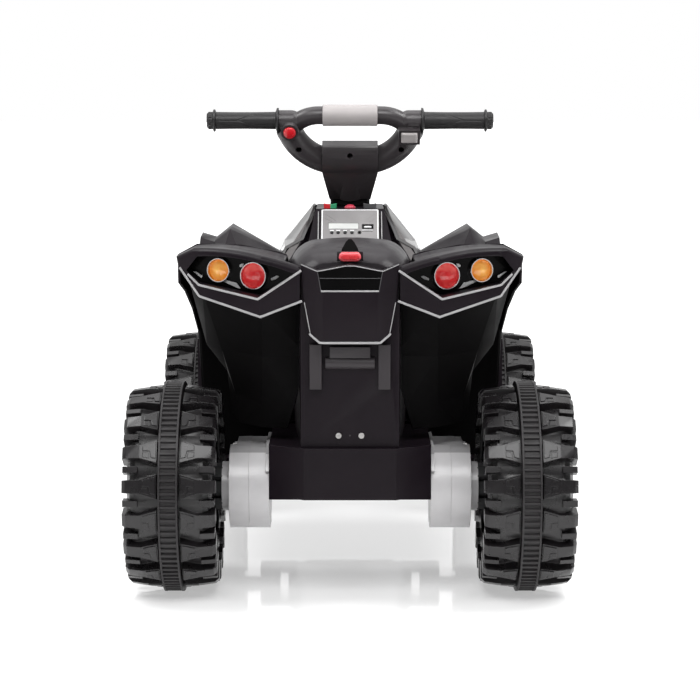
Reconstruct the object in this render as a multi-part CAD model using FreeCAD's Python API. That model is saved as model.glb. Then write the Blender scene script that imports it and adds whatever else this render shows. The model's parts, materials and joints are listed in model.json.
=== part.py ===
import FreeCAD, Part
import math
import os

V = FreeCAD.Vector

# Kids' electric quad bike. X to its right, Y forward, Z up, millimetres.
# The origin lies on the floor under the middle of the whole vehicle.

# Overall layout
WHEELBASE = 640.0
TRACK = 482.0
WHEEL_RADIUS = 145.0
WHEEL_WIDTH = 124.0
FRONT_OVERHANG = 165.0

# Fits
RUN_FIT = 0.05
SEAT_GAP = 0.3
MOVE_GAP = 0.6

# Wheels
BAND_WIDTH = 26.0
BAND_PROUD = 7.0
BAND_RIBS = 100
RIB_DEPTH = 3.0
RAIL_WIDTH = 2.6
LUG_HEIGHT = 12.0
LUG_COUNT = 18
LUG_OVERHANG = 5.0
LUG_ROOT = 33.0
LUG_BLOCK = 17.5
LUG_CROWN = 4.0
LUG_CHAMFER = 5.0
BAR_LONG = 20.0
BAR_TALL = 8.5
BAR_DEEP = 5.0
HUB_RADIUS = 24.0
WEB_OUT = 34.0
WEB_THICK = 5.0
DISH_RADIUS = 90.0
SPOKE_COUNT = 6
DRIVE_RIBS = 4
CAP_RADIUS = 40.0
CAP_HEIGHT = 20.0
AXLE_RADIUS = 6.0
NUT_ACROSS = 19.0
NUT_THICK = 8.0

# Drive train
GEAR_TILT = 28.0
PINION_TEETH = 14
IDLER_BIG_TEETH = 42
IDLER_SMALL_TEETH = 14
OUTPUT_TEETH = 60
FIRST_MODULE = 1.0
SECOND_MODULE = 1.5
PRESSURE_ANGLE = 25.0
BACKLASH = 0.25
GEARBOX_IN = 110.0
GEARBOX_OUT = 165.0
GEARBOX_SPLIT = 138.0
LOBE_OUT = 157.0
DRUM_RADIUS = 57.5
LOBE_RADIUS = 18.0
GEARBOX_WALL = 2.5
FIN_PROUD = 6.0
FIN_THICK = 5.0
FIN_FROM = 30.0
SLEEVE_RADIUS = 16.0
FLANGE_RADIUS = 34.0
MOTOR_RADIUS = 17.5
MOTOR_LENGTH = 56.0
SHAFT_RADIUS = 1.6
IDLER_PIN_RADIUS = 2.5

# Chassis
TUB_BOTTOM = 124.0
TUB_TOP = 212.0
TUB_WALL = 4.0
REAR_BAR_BOTTOM = 142.0
REAR_BAR_HALF = 62.0
REAR_BAR_BACK = -90.0
KEEL_HALF = 78.0
NOSE_HALF = 92.0
FOOT_TOP = 157.0
FOOT_THICK = 6.0
FOOT_OUT = 245.0
RISER_TOP = 300.0

# Steering
STEER_TILT = 28.0
CLAMP_RISE = 82.0
STEM_CLEAR = 7.6
KINGPIN_X = 135.0
KNUCKLE_ARM = 35.0
CRANK_RATIO = 1.103
KINGPIN_RADIUS = 6.0
BOSS_RADIUS = 17.0
BOSS_BOTTOM = 122.0
BOSS_TOP = 168.0
YOKE_THICK = 12.0
TIE_BOTTOM = 146.0
TIE_THICK = 4.0
TIE_PIN_RADIUS = 3.0
CRANK_PIN_RADIUS = 4.0
CRANK_HEIGHT = 185.0
COLUMN_RADIUS = 8.0

# Body
BODY_WALL = 3.0
DECK_Z = 445.7
DASH_Z = 508.0
TAIL_Y = -80.0
PANEL_DEPTH = 26.0
PANEL_WALL = 3.5
COWL_WALL = 3.0
FENDER_WALL = 3.5
HOOD_ROUND = 8.0
BUCKET_WALL = 2.5

# Battery
BATTERY_BACK = 80.0
BATTERY_LONG = 151.0
BATTERY_WIDE = 66.0
BATTERY_TALL = 92.0
HATCH_TO_HINGE = 32.5

# Handlebar
CLAMP_HALF = 43.0
CLAMP_DEPTH = 24.0
CLAMP_TOP = 27.0
CLAMP_LOW = -21.0
CLAMP_LEDGE = 5.0
CLAMP_HOLE_UP = 11.8
ARM_RADIUS = 20.0
CROSSBAR_RADIUS = 14.0
CROSSBAR_RISE = 68.0
CROSSBAR_HALF = 48.0
SHOULDER_BEND = 52.0
SHOULDER_TURN = 65.0
GRIP_RISE = 59.0
GRIP_INNER = 109.0
GRIP_OUTER = 220.0
GRIP_RADIUS = 13.5
FLANGE_GRIP_RADIUS = 19.5
BAR_RADIUS = 9.5
BAR_WALL = 3.2
HORN_RADIUS = 9.4

# Derived places
LENGTH = WHEEL_RADIUS + WHEELBASE + FRONT_OVERHANG
REAR_Y = WHEEL_RADIUS - LENGTH / 2.0
FRONT_Y = REAR_Y + WHEELBASE
AXLE_Z = WHEEL_RADIUS
WHEEL_X = TRACK / 2.0
LUG_RADIUS = WHEEL_RADIUS - BAND_PROUD
CARCASS_RADIUS = LUG_RADIUS - LUG_HEIGHT
CARCASS_HALF = WHEEL_WIDTH / 2.0 - LUG_OVERHANG
BORE_RADIUS = AXLE_RADIUS + RUN_FIT
AXLE_END = WHEEL_X + WEB_OUT + SEAT_GAP + NUT_THICK + 3.0
TIE_Y = FRONT_Y - KNUCKLE_ARM
CRANK_ARM = KNUCKLE_ARM * CRANK_RATIO
TILT = math.radians(STEER_TILT)
CLAMP_HEIGHT = DASH_Z + CLAMP_RISE
STEER_UP = V(0, -math.sin(TILT), math.cos(TILT))
STEER_REAR = V(0, -math.cos(TILT), -math.sin(TILT))


def ry(distance):
    """Y of a point this far ahead of the rear axle."""
    return REAR_Y + distance


def fy(distance):
    """Y of a point this far ahead of the front axle."""
    return FRONT_Y + distance


# Shape helpers

def box(x0, x1, y0, y1, z0, z1):
    return Part.makeBox(x1 - x0, y1 - y0, z1 - z0, V(x0, y0, z0))


def rod(start, direction, radius, length):
    return Part.makeCylinder(radius, length, start, direction)


def flat(points):
    return Part.Face(Part.makePolygon(list(points) + [points[0]]))


def rear_prism(points, y0, y1):
    """Outline in X and Z, pulled along Y."""
    face = flat([V(x, y0, z) for x, z in points])
    return face.extrude(V(0, y1 - y0, 0))


def side_prism(points, x0, x1):
    """Outline in Y and Z, pulled along X."""
    face = flat([V(x0, y, z) for y, z in points])
    return face.extrude(V(x1 - x0, 0, 0))


def plan_prism(points, z0, z1):
    """Outline in X and Y, pulled along Z."""
    face = flat([V(x, y, z0) for x, y in points])
    return face.extrude(V(0, 0, z1 - z0))


def both_sides(points):
    """Right half of an outline, closed with its mirror image."""
    return list(points) + [(-x, other) for x, other in reversed(points)]


def turned(points):
    """Profile of X and radius, turned about the X axis."""
    face = flat([V(x, r, 0) for x, r in points])
    return face.revolve(V(0, 0, 0), V(1, 0, 0), 360)


def patch(a, b, c, d):
    """One flat face, or two triangles where four corners are not flat."""
    normal = (b - a).cross(c - a)
    if normal.Length < 1e-9:
        return [flat([a, c, d])]
    if abs((d - a).dot(normal)) / normal.Length < 1e-6:
        return [flat([a, b, c, d])]
    if (b - d).Length < (a - c).Length:
        return [flat([b, c, d]), flat([b, d, a])]
    return [flat([a, b, c]), flat([a, c, d])]


def closed(faces):
    solid = Part.Solid(Part.Shell(faces))
    if solid.Volume < 0:
        solid.reverse()
    return solid


def skin(sections):
    """Solid with flat facets through closed sections of equal count."""
    faces = [flat(sections[0]), flat(sections[-1])]
    count = len(sections[0])
    for low, high in zip(sections, sections[1:]):
        for i in range(count):
            j = (i + 1) % count
            faces += patch(low[i], low[j], high[j], high[i])
    return closed(faces)


def sheet(rows, thickness):
    """Moulded panel of even thickness under a grid of points."""
    tall = len(rows)
    wide = len(rows[0])
    normals = [[V(0, 0, 0) for _ in range(wide)] for _ in range(tall)]
    for i in range(tall - 1):
        for j in range(wide - 1):
            across = rows[i + 1][j + 1] - rows[i][j]
            along = rows[i][j + 1] - rows[i + 1][j]
            normal = across.cross(along).normalize()
            for a, b in ((i, j), (i + 1, j), (i, j + 1), (i + 1, j + 1)):
                normals[a][b] = normals[a][b] + normal
    inner = []
    for i in range(tall):
        row = []
        for j in range(wide):
            row.append(rows[i][j] - normals[i][j].normalize() * thickness)
        inner.append(row)
    faces = []
    for i in range(tall - 1):
        for j in range(wide - 1):
            for grid in (rows, inner):
                faces += patch(grid[i][j], grid[i][j + 1], grid[i + 1][j + 1], grid[i + 1][j])
    for i in range(tall - 1):
        for j in (0, wide - 1):
            faces += patch(rows[i][j], rows[i + 1][j], inner[i + 1][j], inner[i][j])
    for j in range(wide - 1):
        for i in (0, tall - 1):
            faces += patch(rows[i][j], rows[i][j + 1], inner[i][j + 1], inner[i][j])
    return closed(faces)


def join(shapes):
    return shapes[0].multiFuse(shapes[1:]).removeSplitter()


def mirrored(shape):
    return shape.mirror(V(0, 0, 0), V(1, 0, 0))


def about_x(shape, degrees):
    turned_shape = shape.copy()
    turned_shape.rotate(V(0, 0, 0), V(1, 0, 0), degrees)
    return turned_shape


def moved(shape, vector):
    moved_shape = shape.copy()
    moved_shape.translate(vector)
    return moved_shape


def placed(shape, origin, first, second, third):
    """Shape drawn in its own axes, set down at a place."""
    placed_shape = shape.copy()
    spin = FreeCAD.Rotation(first, second, third, "XYZ")
    placed_shape.Placement = FreeCAD.Placement(origin, spin).multiply(placed_shape.Placement)
    return placed_shape


def save(name, shape):
    shape.exportStep("parts/" + name + ".step")


# Wheels

def tread_block(stations, bottom):
    """Block along X through stations of place, width and top radius."""
    sections = []
    for x, wide, top in stations:
        half = wide / 2.0
        sections.append([V(x, -half, bottom), V(x, half, bottom), V(x, half, top), V(x, -half, top)])
    return skin(sections)


def lug():
    """Block that widens towards the traction band, with a crowned top."""
    edge = WHEEL_WIDTH / 2.0
    root = BAND_WIDTH / 2.0 + 2.0
    waist = (root + edge) / 2.0
    shoulder = LUG_RADIUS - LUG_CROWN
    stations = [(root, LUG_ROOT, LUG_RADIUS), (waist, LUG_BLOCK + 1, LUG_RADIUS - LUG_CROWN / 3.0),
                (edge - LUG_CHAMFER, LUG_BLOCK, shoulder), (edge, LUG_BLOCK - 1, shoulder - LUG_CHAMFER)]
    return tread_block(stations, CARCASS_RADIUS - 22)


def tread_bar():
    """Short bar between two lugs."""
    edge = WHEEL_WIDTH / 2.0 - 1.0
    top = LUG_RADIUS - BAR_DEEP
    return tread_block([(edge - BAR_LONG, BAR_TALL, top), (edge, BAR_TALL, top - LUG_CROWN / 2.0)],
                       CARCASS_RADIUS - 14)


def tread_blocks():
    blocks = []
    pitch = 360.0 / LUG_COUNT
    for block, offset in ((lug(), 0.0), (tread_bar(), 0.5)):
        for shape in (block, mirrored(block)):
            for i in range(LUG_COUNT):
                blocks.append(about_x(shape, pitch * (i + offset)))
    return blocks


def wheel():
    half = CARCASS_HALF
    rim = CARCASS_RADIUS
    web_in = WEB_OUT - WEB_THICK
    face_in = 2.0 - half
    carcass = turned([(face_in, BORE_RADIUS), (face_in, rim - 30), (-half, rim - 18), (5 - half, rim - 6),
                      (12 - half, rim), (half - 12, rim), (half - 5, rim - 6), (half, rim - 18),
                      (half - 2, rim - 34), (half - 2, BORE_RADIUS)])
    cavity = turned([(-half - 9, HUB_RADIUS), (-half - 9, rim - 32), (5 - half, rim - 32),
                     (6 - half, rim - 18), (14 - half, rim - 6), (half - 14, rim - 6), (half - 6, rim - 18),
                     (half - 8, DISH_RADIUS + 5), (web_in, DISH_RADIUS - 3), (web_in, HUB_RADIUS)])
    dish = turned([(WEB_OUT, 1), (WEB_OUT, DISH_RADIUS - 8), (half - 2, DISH_RADIUS),
                   (half + 9, DISH_RADIUS), (half + 9, 1)])
    body = carcass.multiFuse(tread_blocks()).cut(cavity).cut(dish)
    extras = []
    rib = box(face_in + 1, web_in + 1, -2.5, 2.5, HUB_RADIUS - 2, 62)
    for i in range(DRIVE_RIBS):
        extras.append(about_x(rib, 360.0 * i / DRIVE_RIBS))
    spoke = box(WEB_OUT - 1, WEB_OUT + 7, -6, 6, CAP_RADIUS + 4, DISH_RADIUS - 7)
    for i in range(SPOKE_COUNT):
        extras.append(about_x(spoke, 360.0 * i / SPOKE_COUNT))
    return join([body] + extras)


def traction_band():
    low = WHEEL_RADIUS - 0.5 - RIB_DEPTH
    high = WHEEL_RADIUS - 0.5
    inside = CARCASS_RADIUS + 0.1
    half = BAND_WIDTH / 2.0
    points = []
    for i in range(BAND_RIBS):
        for part, radius in ((0.0, low), (0.4, low), (0.55, high), (0.85, high)):
            angle = 2.0 * math.pi * (i + part) / BAND_RIBS
            points.append(V(RAIL_WIDTH - half, radius * math.cos(angle), radius * math.sin(angle)))
    core = flat(points).extrude(V(BAND_WIDTH - 2.0 * RAIL_WIDTH, 0, 0))
    pieces = [core]
    for x in (-half, half - RAIL_WIDTH):
        pieces.append(rod(V(x, 0, 0), V(1, 0, 0), WHEEL_RADIUS, RAIL_WIDTH))
    hole = rod(V(-half - 1, 0, 0), V(1, 0, 0), inside, BAND_WIDTH + 2)
    return pieces[0].multiFuse(pieces[1:]).cut(hole)


def hub_cap():
    base = WEB_OUT
    tip = WEB_OUT + CAP_HEIGHT
    return turned([(base, CAP_RADIUS), (base + 8, CAP_RADIUS), (tip - 3, CAP_RADIUS - 11), (tip, 0),
                   (tip - 3, 0), (tip - 6, CAP_RADIUS - 13), (base + 6, CAP_RADIUS - 3.5),
                   (base, CAP_RADIUS - 3.5)])


def hex_nut(x):
    radius = NUT_ACROSS / math.sqrt(3.0)
    corners = []
    for i in range(6):
        angle = math.radians(60 * i)
        corners.append(V(x, radius * math.cos(angle), radius * math.sin(angle)))
    nut = flat(corners).extrude(V(NUT_THICK, 0, 0))
    return nut.cut(rod(V(x - 1, 0, 0), V(1, 0, 0), BORE_RADIUS, NUT_THICK + 2))


def at_wheel(shape, side, axle_y):
    """Wheel piece with its outer side away from the vehicle."""
    piece = shape.copy()
    if side < 0:
        piece.rotate(V(0, 0, 0), V(0, 0, 1), 180)
    piece.translate(V(side * WHEEL_X, axle_y, AXLE_Z))
    return piece


# Gears

def involute(angle):
    return math.tan(angle) - angle


def gear(teeth, module, phase, x0, x1):
    """Spur gear about the X axis, a tooth centred on the phase angle."""
    pitch = module * teeth / 2.0
    pressure = math.radians(PRESSURE_ANGLE)
    base = pitch * math.cos(pressure)
    tip = pitch + 0.8 * module
    root = pitch - 1.15 * module
    half_at_pitch = math.pi / (2.0 * teeth) - BACKLASH / (2.0 * pitch)
    flank = []
    for radius in (root, max(base, root) + 0.01, pitch, (pitch + tip) / 2.0, tip):
        contact = math.acos(min(1.0, base / radius))
        flank.append((radius, half_at_pitch + involute(pressure) - involute(contact)))
    points = []
    for i in range(teeth):
        middle = phase + 2.0 * math.pi * i / teeth
        for radius, half in flank:
            points.append((radius, middle - half))
        for radius, half in reversed(flank):
            points.append((radius, middle + half))
    corners = [V(x0, r * math.cos(a), r * math.sin(a)) for r, a in points]
    return flat(corners).extrude(V(x1 - x0, 0, 0))


GEAR_ANGLE = math.radians(GEAR_TILT)
IDLER_REACH = SECOND_MODULE * (OUTPUT_TEETH + IDLER_SMALL_TEETH) / 2.0
MOTOR_REACH = IDLER_REACH + FIRST_MODULE * (IDLER_BIG_TEETH + PINION_TEETH) / 2.0
IDLER_AT = V(0, IDLER_REACH * math.cos(GEAR_ANGLE), IDLER_REACH * math.sin(GEAR_ANGLE))
MOTOR_AT = V(0, MOTOR_REACH * math.cos(GEAR_ANGLE), MOTOR_REACH * math.sin(GEAR_ANGLE))
AXLE_AT = V(0, REAR_Y, AXLE_Z)
ALONG_X = V(1, 0, 0)
FIRST_STAGE = (GEARBOX_IN + 10.0, GEARBOX_IN + 18.0)
SECOND_STAGE = (GEARBOX_SPLIT + 2.0, LOBE_OUT - 4.0)
HUB_END = WHEEL_X - CARCASS_HALF + 2.0


def output_gear():
    inside = GEARBOX_IN + GEARBOX_WALL + 2.0
    pieces = [gear(OUTPUT_TEETH, SECOND_MODULE, GEAR_ANGLE, SECOND_STAGE[0], SECOND_STAGE[1]),
              rod(V(inside, 0, 0), ALONG_X, SLEEVE_RADIUS, GEARBOX_OUT + 2 - inside),
              rod(V(GEARBOX_OUT + 1, 0, 0), ALONG_X, FLANGE_RADIUS, 10),
              rod(V(GEARBOX_OUT + 10, 0, 0), ALONG_X, HUB_RADIUS - 2, HUB_END - SEAT_GAP - GEARBOX_OUT - 10)]
    dog = box(GEARBOX_OUT + 10, HUB_END + 8, -8, 8, HUB_RADIUS + 2.5, FLANGE_RADIUS - 0.5)
    for i in range(DRIVE_RIBS):
        pieces.append(about_x(dog, 360.0 * (i + 0.5) / DRIVE_RIBS))
    bore = rod(V(inside - 1, 0, 0), ALONG_X, BORE_RADIUS, HUB_END - inside + 20)
    return moved(join(pieces).cut(bore), AXLE_AT)


def idler_gear():
    gap_at = GEAR_ANGLE + math.pi + math.pi / IDLER_SMALL_TEETH
    big = gear(IDLER_BIG_TEETH, FIRST_MODULE, GEAR_ANGLE, FIRST_STAGE[0], FIRST_STAGE[1])
    small = gear(IDLER_SMALL_TEETH, SECOND_MODULE, gap_at, FIRST_STAGE[1], SECOND_STAGE[1] + 1)
    bore = rod(V(FIRST_STAGE[0] - 1, 0, 0), ALONG_X, IDLER_PIN_RADIUS + RUN_FIT, 60)
    return moved(big.fuse(small).cut(bore), AXLE_AT + IDLER_AT)


def pinion():
    gap_at = GEAR_ANGLE + math.pi + math.pi / PINION_TEETH
    teeth = gear(PINION_TEETH, FIRST_MODULE, gap_at, FIRST_STAGE[0] - 2, FIRST_STAGE[1] + 2)
    shaft = rod(V(GEARBOX_IN - 30, 0, 0), ALONG_X, SHAFT_RADIUS, FIRST_STAGE[1] + 4 - GEARBOX_IN + 30)
    return moved(teeth.fuse(shaft), AXLE_AT + MOTOR_AT)


def lobe(grow, x0, x1):
    """Outline round the axle and the motor, pulled along X."""
    big = DRUM_RADIUS + grow
    small = LOBE_RADIUS + grow
    spread = math.acos((big - small) / MOTOR_REACH)

    def at(centre, radius, angle):
        return centre + V(0, radius * math.cos(angle), radius * math.sin(angle))

    start = V(x0, 0, 0)
    centre = start + MOTOR_AT
    upper = GEAR_ANGLE + spread
    lower = GEAR_ANGLE - spread
    back = at(start, big, GEAR_ANGLE + math.pi)
    front = at(centre, small, GEAR_ANGLE)
    edges = [Part.Arc(at(start, big, upper), back, at(start, big, lower)).toShape(),
             Part.makeLine(at(start, big, lower), at(centre, small, lower)),
             Part.Arc(at(centre, small, lower), front, at(centre, small, upper)).toShape(),
             Part.makeLine(at(centre, small, upper), at(start, big, upper))]
    return Part.Face(Part.Wire(edges)).extrude(V(x1 - x0, 0, 0))


BOSS_ANGLES = (60, 300, 340)
SCREW_RADIUS = 2.8
SCREW_BOSS_RADIUS = 4.6


def screw_spot(degrees):
    """Middle of a cover screw, just outside the drum."""
    angle = math.radians(degrees)
    reach = DRUM_RADIUS + SCREW_RADIUS + SEAT_GAP
    return V(0, reach * math.cos(angle), reach * math.sin(angle))


SCREW_SEAT_X = GEARBOX_OUT - 4.0


def gearbox_halves():
    outer = [lobe(0, GEARBOX_IN, LOBE_OUT),
             rod(V(GEARBOX_IN, 0, 0), ALONG_X, DRUM_RADIUS, GEARBOX_OUT - GEARBOX_IN)]
    for degrees in BOSS_ANGLES:
        spot = screw_spot(degrees) + V(GEARBOX_IN, 0, 0)
        outer.append(rod(spot, ALONG_X, SCREW_BOSS_RADIUS, SCREW_SEAT_X - GEARBOX_IN))
    shell = join(outer)
    inside = GEARBOX_IN + GEARBOX_WALL
    hollow = lobe(-GEARBOX_WALL, inside, LOBE_OUT - GEARBOX_WALL)
    hollow = hollow.fuse(rod(V(inside, 0, 0), ALONG_X, DRUM_RADIUS - GEARBOX_WALL,
                             GEARBOX_OUT - GEARBOX_WALL - inside))
    near = box(GEARBOX_IN - 1, GEARBOX_SPLIT, -200, 200, -200, 200)
    far = box(GEARBOX_SPLIT, GEARBOX_OUT + 1, -200, 200, -200, 200)
    axle_hole = rod(V(GEARBOX_IN - 1, 0, 0), ALONG_X, BORE_RADIUS, GEARBOX_WALL + 4)
    shaft_hole = rod(V(GEARBOX_IN - 1, 0, 0) + MOTOR_AT, ALONG_X, 6, GEARBOX_WALL + 4)
    fin = lobe(FIN_PROUD, GEARBOX_IN, GEARBOX_IN + FIN_THICK)
    fin = fin.common(box(GEARBOX_IN, GEARBOX_OUT, -200, 200, FIN_FROM, 200))
    case = shell.common(near).fuse(fin).cut(hollow)
    pin = rod(V(GEARBOX_IN + 1, 0, 0) + IDLER_AT, ALONG_X, IDLER_PIN_RADIUS,
              LOBE_OUT - GEARBOX_WALL - SEAT_GAP - GEARBOX_IN - 1)
    collar = rod(V(GEARBOX_IN + 1, 0, 0) + IDLER_AT, ALONG_X, 5, FIRST_STAGE[0] - SEAT_GAP - GEARBOX_IN - 1)
    case = join([case, pin, collar]).cut(axle_hole).cut(shaft_hole)
    sleeve_hole = rod(V(GEARBOX_OUT - 8, 0, 0), ALONG_X, SLEEVE_RADIUS + MOVE_GAP, 12)
    cover = shell.common(far).cut(hollow).cut(sleeve_hole)
    return moved(case, AXLE_AT), moved(cover, AXLE_AT)


def motor():
    can = rod(V(GEARBOX_IN - MOTOR_LENGTH, 0, 0), ALONG_X, MOTOR_RADIUS, MOTOR_LENGTH)
    nose = rod(V(GEARBOX_IN - MOTOR_LENGTH - 4, 0, 0), ALONG_X, 6, 5)
    shaft_bore = rod(V(GEARBOX_IN - 32, 0, 0), ALONG_X, SHAFT_RADIUS + RUN_FIT, 40)
    return moved(can.fuse(nose).cut(shaft_bore), AXLE_AT + MOTOR_AT)


# Steering geometry

def steer_origin():
    """Point on the steering axis in the middle of the handlebar clamp."""
    level = TIE_BOTTOM + TIE_THICK / 2.0
    drop = (CRANK_HEIGHT - level - CRANK_ARM * math.sin(TILT)) / math.cos(TILT)
    crank_y = TIE_Y + CRANK_ARM * math.cos(TILT) - drop * math.sin(TILT)
    return V(0, crank_y - (CLAMP_HEIGHT - CRANK_HEIGHT) * math.tan(TILT), CLAMP_HEIGHT)


STEER_AT = steer_origin()
CRANK_DOWN = (CLAMP_HEIGHT - CRANK_HEIGHT) / math.cos(TILT)


def on_steering(shape):
    """Shape drawn with X across, Y up the column and Z to the rider."""
    return placed(shape, STEER_AT, ALONG_X, STEER_UP, STEER_REAR)


def steer_bore(radius, z0, z1):
    low = STEER_AT + STEER_UP * ((z0 - CLAMP_HEIGHT) / math.cos(TILT))
    return rod(low, STEER_UP, radius, (z1 - z0) / math.cos(TILT))


# Body outlines

BODY_ROWS = ((ry(TAIL_Y), 66, 66, 400, 64, DECK_Z), (ry(-20), 69, 71, 400, 66, DECK_Z),
             (ry(100), 78, 84, 395, 74, DECK_Z), (ry(180), KEEL_HALF, 88, 390, 74, DECK_Z),
             (fy(-340), KEEL_HALF, 88, 390, 66, DECK_Z), (fy(-278), KEEL_HALF, 84, 400, 52, DASH_Z),
             (fy(-135), KEEL_HALF, 84, 400, 52, DASH_Z))

COWL_ROWS = ((fy(-350), 57, 472, 98, 452, 106, 430, 100, 332),
             (fy(-255), 57, DASH_Z + 6, 101, 458, 114, 430, 106, 320),
             (fy(-140), 56, DASH_Z + 2, 104, 455, 120, 430, 106, 310),
             (fy(0), 58, 468, 104, 436, 118, 412, 100, 303),
             (fy(95), 58, 420, 92, 402, 104, 380, 88, 300),
             (fy(132), 46, 372, 70, 362, 78, 345, 66, 300))


def body_solid(grow, bottom, ends):
    sections = []
    for i, (y, low, mid, mid_z, top, top_z) in enumerate(BODY_ROWS):
        shift = 0.0
        if i == 0:
            shift = -ends
        if i == len(BODY_ROWS) - 1:
            shift = ends
        half = [(low + grow, bottom), (mid + grow, mid_z), (top + grow, top_z + grow)]
        sections.append([V(x, y + shift, z) for x, z in both_sides(half)])
    return skin(sections)


def cowl_solid(grow, bottom, ends):
    sections = []
    for i, (y, a, az, b, bz, c, cz, d, dz) in enumerate(COWL_ROWS):
        shift = 0.0
        if i == 0:
            shift = -abs(ends)
        if i == len(COWL_ROWS) - 1:
            shift = ends
        half = [(d + grow, dz + bottom), (c + grow, cz), (b + grow, bz + grow), (a + grow, az + grow)]
        sections.append([V(x, y + shift, z) for x, z in both_sides(half)])
    return skin(sections)


def cowl_side(y, z):
    """Half width of the cowl at a place on its side."""
    for low, high in zip(COWL_ROWS, COWL_ROWS[1:]):
        if low[0] <= y <= high[0]:
            part = (y - low[0]) / (high[0] - low[0])
            row = [a + (b - a) * part for a, b in zip(low, high)]
            levels = [(row[8], row[7]), (row[6], row[5]), (row[4], row[3])]
            for (z0, x0), (z1, x1) in zip(levels, levels[1:]):
                if z <= z1:
                    return x0 + (x1 - x0) * (z - z0) / (z1 - z0)
            return row[3]
    return COWL_ROWS[-1][5]


# Dash face, drawn with X across, Y up the slope and Z out of it

DASH_LOW = V(0, BODY_ROWS[4][0], BODY_ROWS[4][5])
DASH_HIGH = V(0, BODY_ROWS[5][0], BODY_ROWS[5][5])
DASH_UP = (DASH_HIGH - DASH_LOW).normalize()
DASH_OUT = ALONG_X.cross(DASH_UP)
DASH_LENGTH = (DASH_HIGH - DASH_LOW).Length
KEY_X = (-27.5, -18.0, -7.5, 3.0)
KEY_RADIUS = 2.5
KEY_UP = DASH_LENGTH - 51.0
DISPLAY = (-33.0, 13.0, DASH_LENGTH - 44.0, DASH_LENGTH - 32.0)
CARD_SLOT = (19.0, 35.0, DASH_LENGTH - 43.0, DASH_LENGTH - 35.0)
PANEL_HALF = 44.0
PANEL_THICK = 3.0


def on_dash(shape):
    return placed(shape, DASH_LOW, ALONG_X, DASH_UP, DASH_OUT)


DECK_BUTTON_Y = BODY_ROWS[5][0] + 16.0
ROCKER_X = 30.5
ROCKER_LONG = 20.4
ROCKER_WIDE = 13.4
ROCKER_RISE = 7.5
START_RADIUS = 8.5
HINGE_Y = fy(-371.5)
HINGE_Z = DECK_Z + SEAT_GAP + 6.0
HINGE_RADIUS = 4.0


RELIEF_FINS = 5


def side_relief():
    """Raised cover with cooling fins on each flank, above the footboard."""
    cover = side_prism([(ry(222), 226), (fy(-246), 226), (fy(-246), 318), (fy(-282), 366),
                        (ry(232), 366)], 60, 90)
    pieces = [cover]
    for i in range(RELIEF_FINS):
        z = 246 + i * 22
        pieces.append(box(60, 96, ry(236), fy(-262) - i * 4, z, z + 9))
    return pieces + [mirrored(shape) for shape in pieces]


def body_shell():
    outer = body_solid(0, TUB_TOP, 0)
    inner = body_solid(-BODY_WALL, TUB_TOP - 1, -BODY_WALL)
    shell = outer.multiFuse(side_relief()).cut(inner)
    deck = DASH_Z
    bearing = steer_bore(COLUMN_RADIUS + 9, deck - 42, deck).common(outer)
    ears = []
    for side in (1, -1):
        ears.append(box(side * 40 - 6, side * 40 + 6, HINGE_Y - 6, HINGE_Y + 6, DECK_Z - 1, HINGE_Z))
        ears.append(rod(V(side * 40 - 6, HINGE_Y, HINGE_Z), ALONG_X, 6, 12))
    rails = []
    for side in (1, -1):
        rails.append(box(side * 46 - 8, side * 46 + 8, ry(TAIL_Y - 8), ry(TAIL_Y + 1), 292, 352))
    ledge = rod(V(-33, ry(TAIL_Y), 327), ALONG_X, 8, 66)
    ledge = ledge.common(box(-60, 60, ry(-200), ry(TAIL_Y + 1), 0, 500))
    block = box(-27, 27, ry(TAIL_Y - 7), ry(TAIL_Y + 1), 334, 349)
    shell = join([shell, bearing, ledge, block] + ears + rails)
    cuts = [box(-46, 46, ry(BATTERY_BACK - 5), HINGE_Y - HATCH_TO_HINGE, DECK_Z - 20, DECK_Z + 5),
            steer_bore(COLUMN_RADIUS + RUN_FIT, deck - 60, deck + 20),
            steer_bore(COLUMN_RADIUS + 2, TUB_TOP, deck - 46),
            rod(V(-60, HINGE_Y, HINGE_Z), ALONG_X, HINGE_RADIUS + RUN_FIT, 120),
            rod(V(0, DECK_BUTTON_Y, deck - 10), V(0, 0, 1), START_RADIUS + SEAT_GAP, 20),
            on_dash(box(-39, 39, DASH_LENGTH - 66, DASH_LENGTH - 14, -10, 5))]
    half_long = ROCKER_LONG / 2 + MOVE_GAP
    half_wide = ROCKER_WIDE / 2 + SEAT_GAP
    for x in (ROCKER_X, -ROCKER_X):
        cuts.append(box(x - half_long, x + half_long, DECK_BUTTON_Y - half_wide, DECK_BUTTON_Y + half_wide,
                        deck - 10, deck + 10))
    for cut in cuts:
        shell = shell.cut(cut)
    return shell.removeSplitter()


def dash_panel():
    plate = box(-PANEL_HALF, PANEL_HALF, DASH_LENGTH - 72, DASH_LENGTH - 4, 0.1, 0.1 + PANEL_THICK)
    rim = plate.makeFillet(2, [e for e in plate.Edges if abs(e.tangentAt(e.FirstParameter).z) > 0.9])
    cuts = [box(*DISPLAY, PANEL_THICK - 1.0, 9), box(*CARD_SLOT, -2, 9),
            rod(V(14.5, KEY_UP, -2), V(0, 0, 1), 1.8, 9)]
    for x in KEY_X:
        cuts.append(rod(V(x, KEY_UP, -2), V(0, 0, 1), KEY_RADIUS + SEAT_GAP, 9))
    for cut in cuts:
        rim = rim.cut(cut)
    return on_dash(rim)


def display_window():
    level = PANEL_THICK - 1.0 + 0.05
    x0, x1, low, high = DISPLAY
    return on_dash(box(x0 + 0.1, x1 - 0.1, low + 0.1, high - 0.1, level, level + 1.4))


def music_key(x):
    stem = rod(V(x, KEY_UP, -1.5), V(0, 0, 1), KEY_RADIUS, PANEL_THICK + 3.2)
    foot = rod(V(x, KEY_UP, -3.0), V(0, 0, 1), KEY_RADIUS + 1.2, 2.0)
    return on_dash(stem.fuse(foot))


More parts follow.
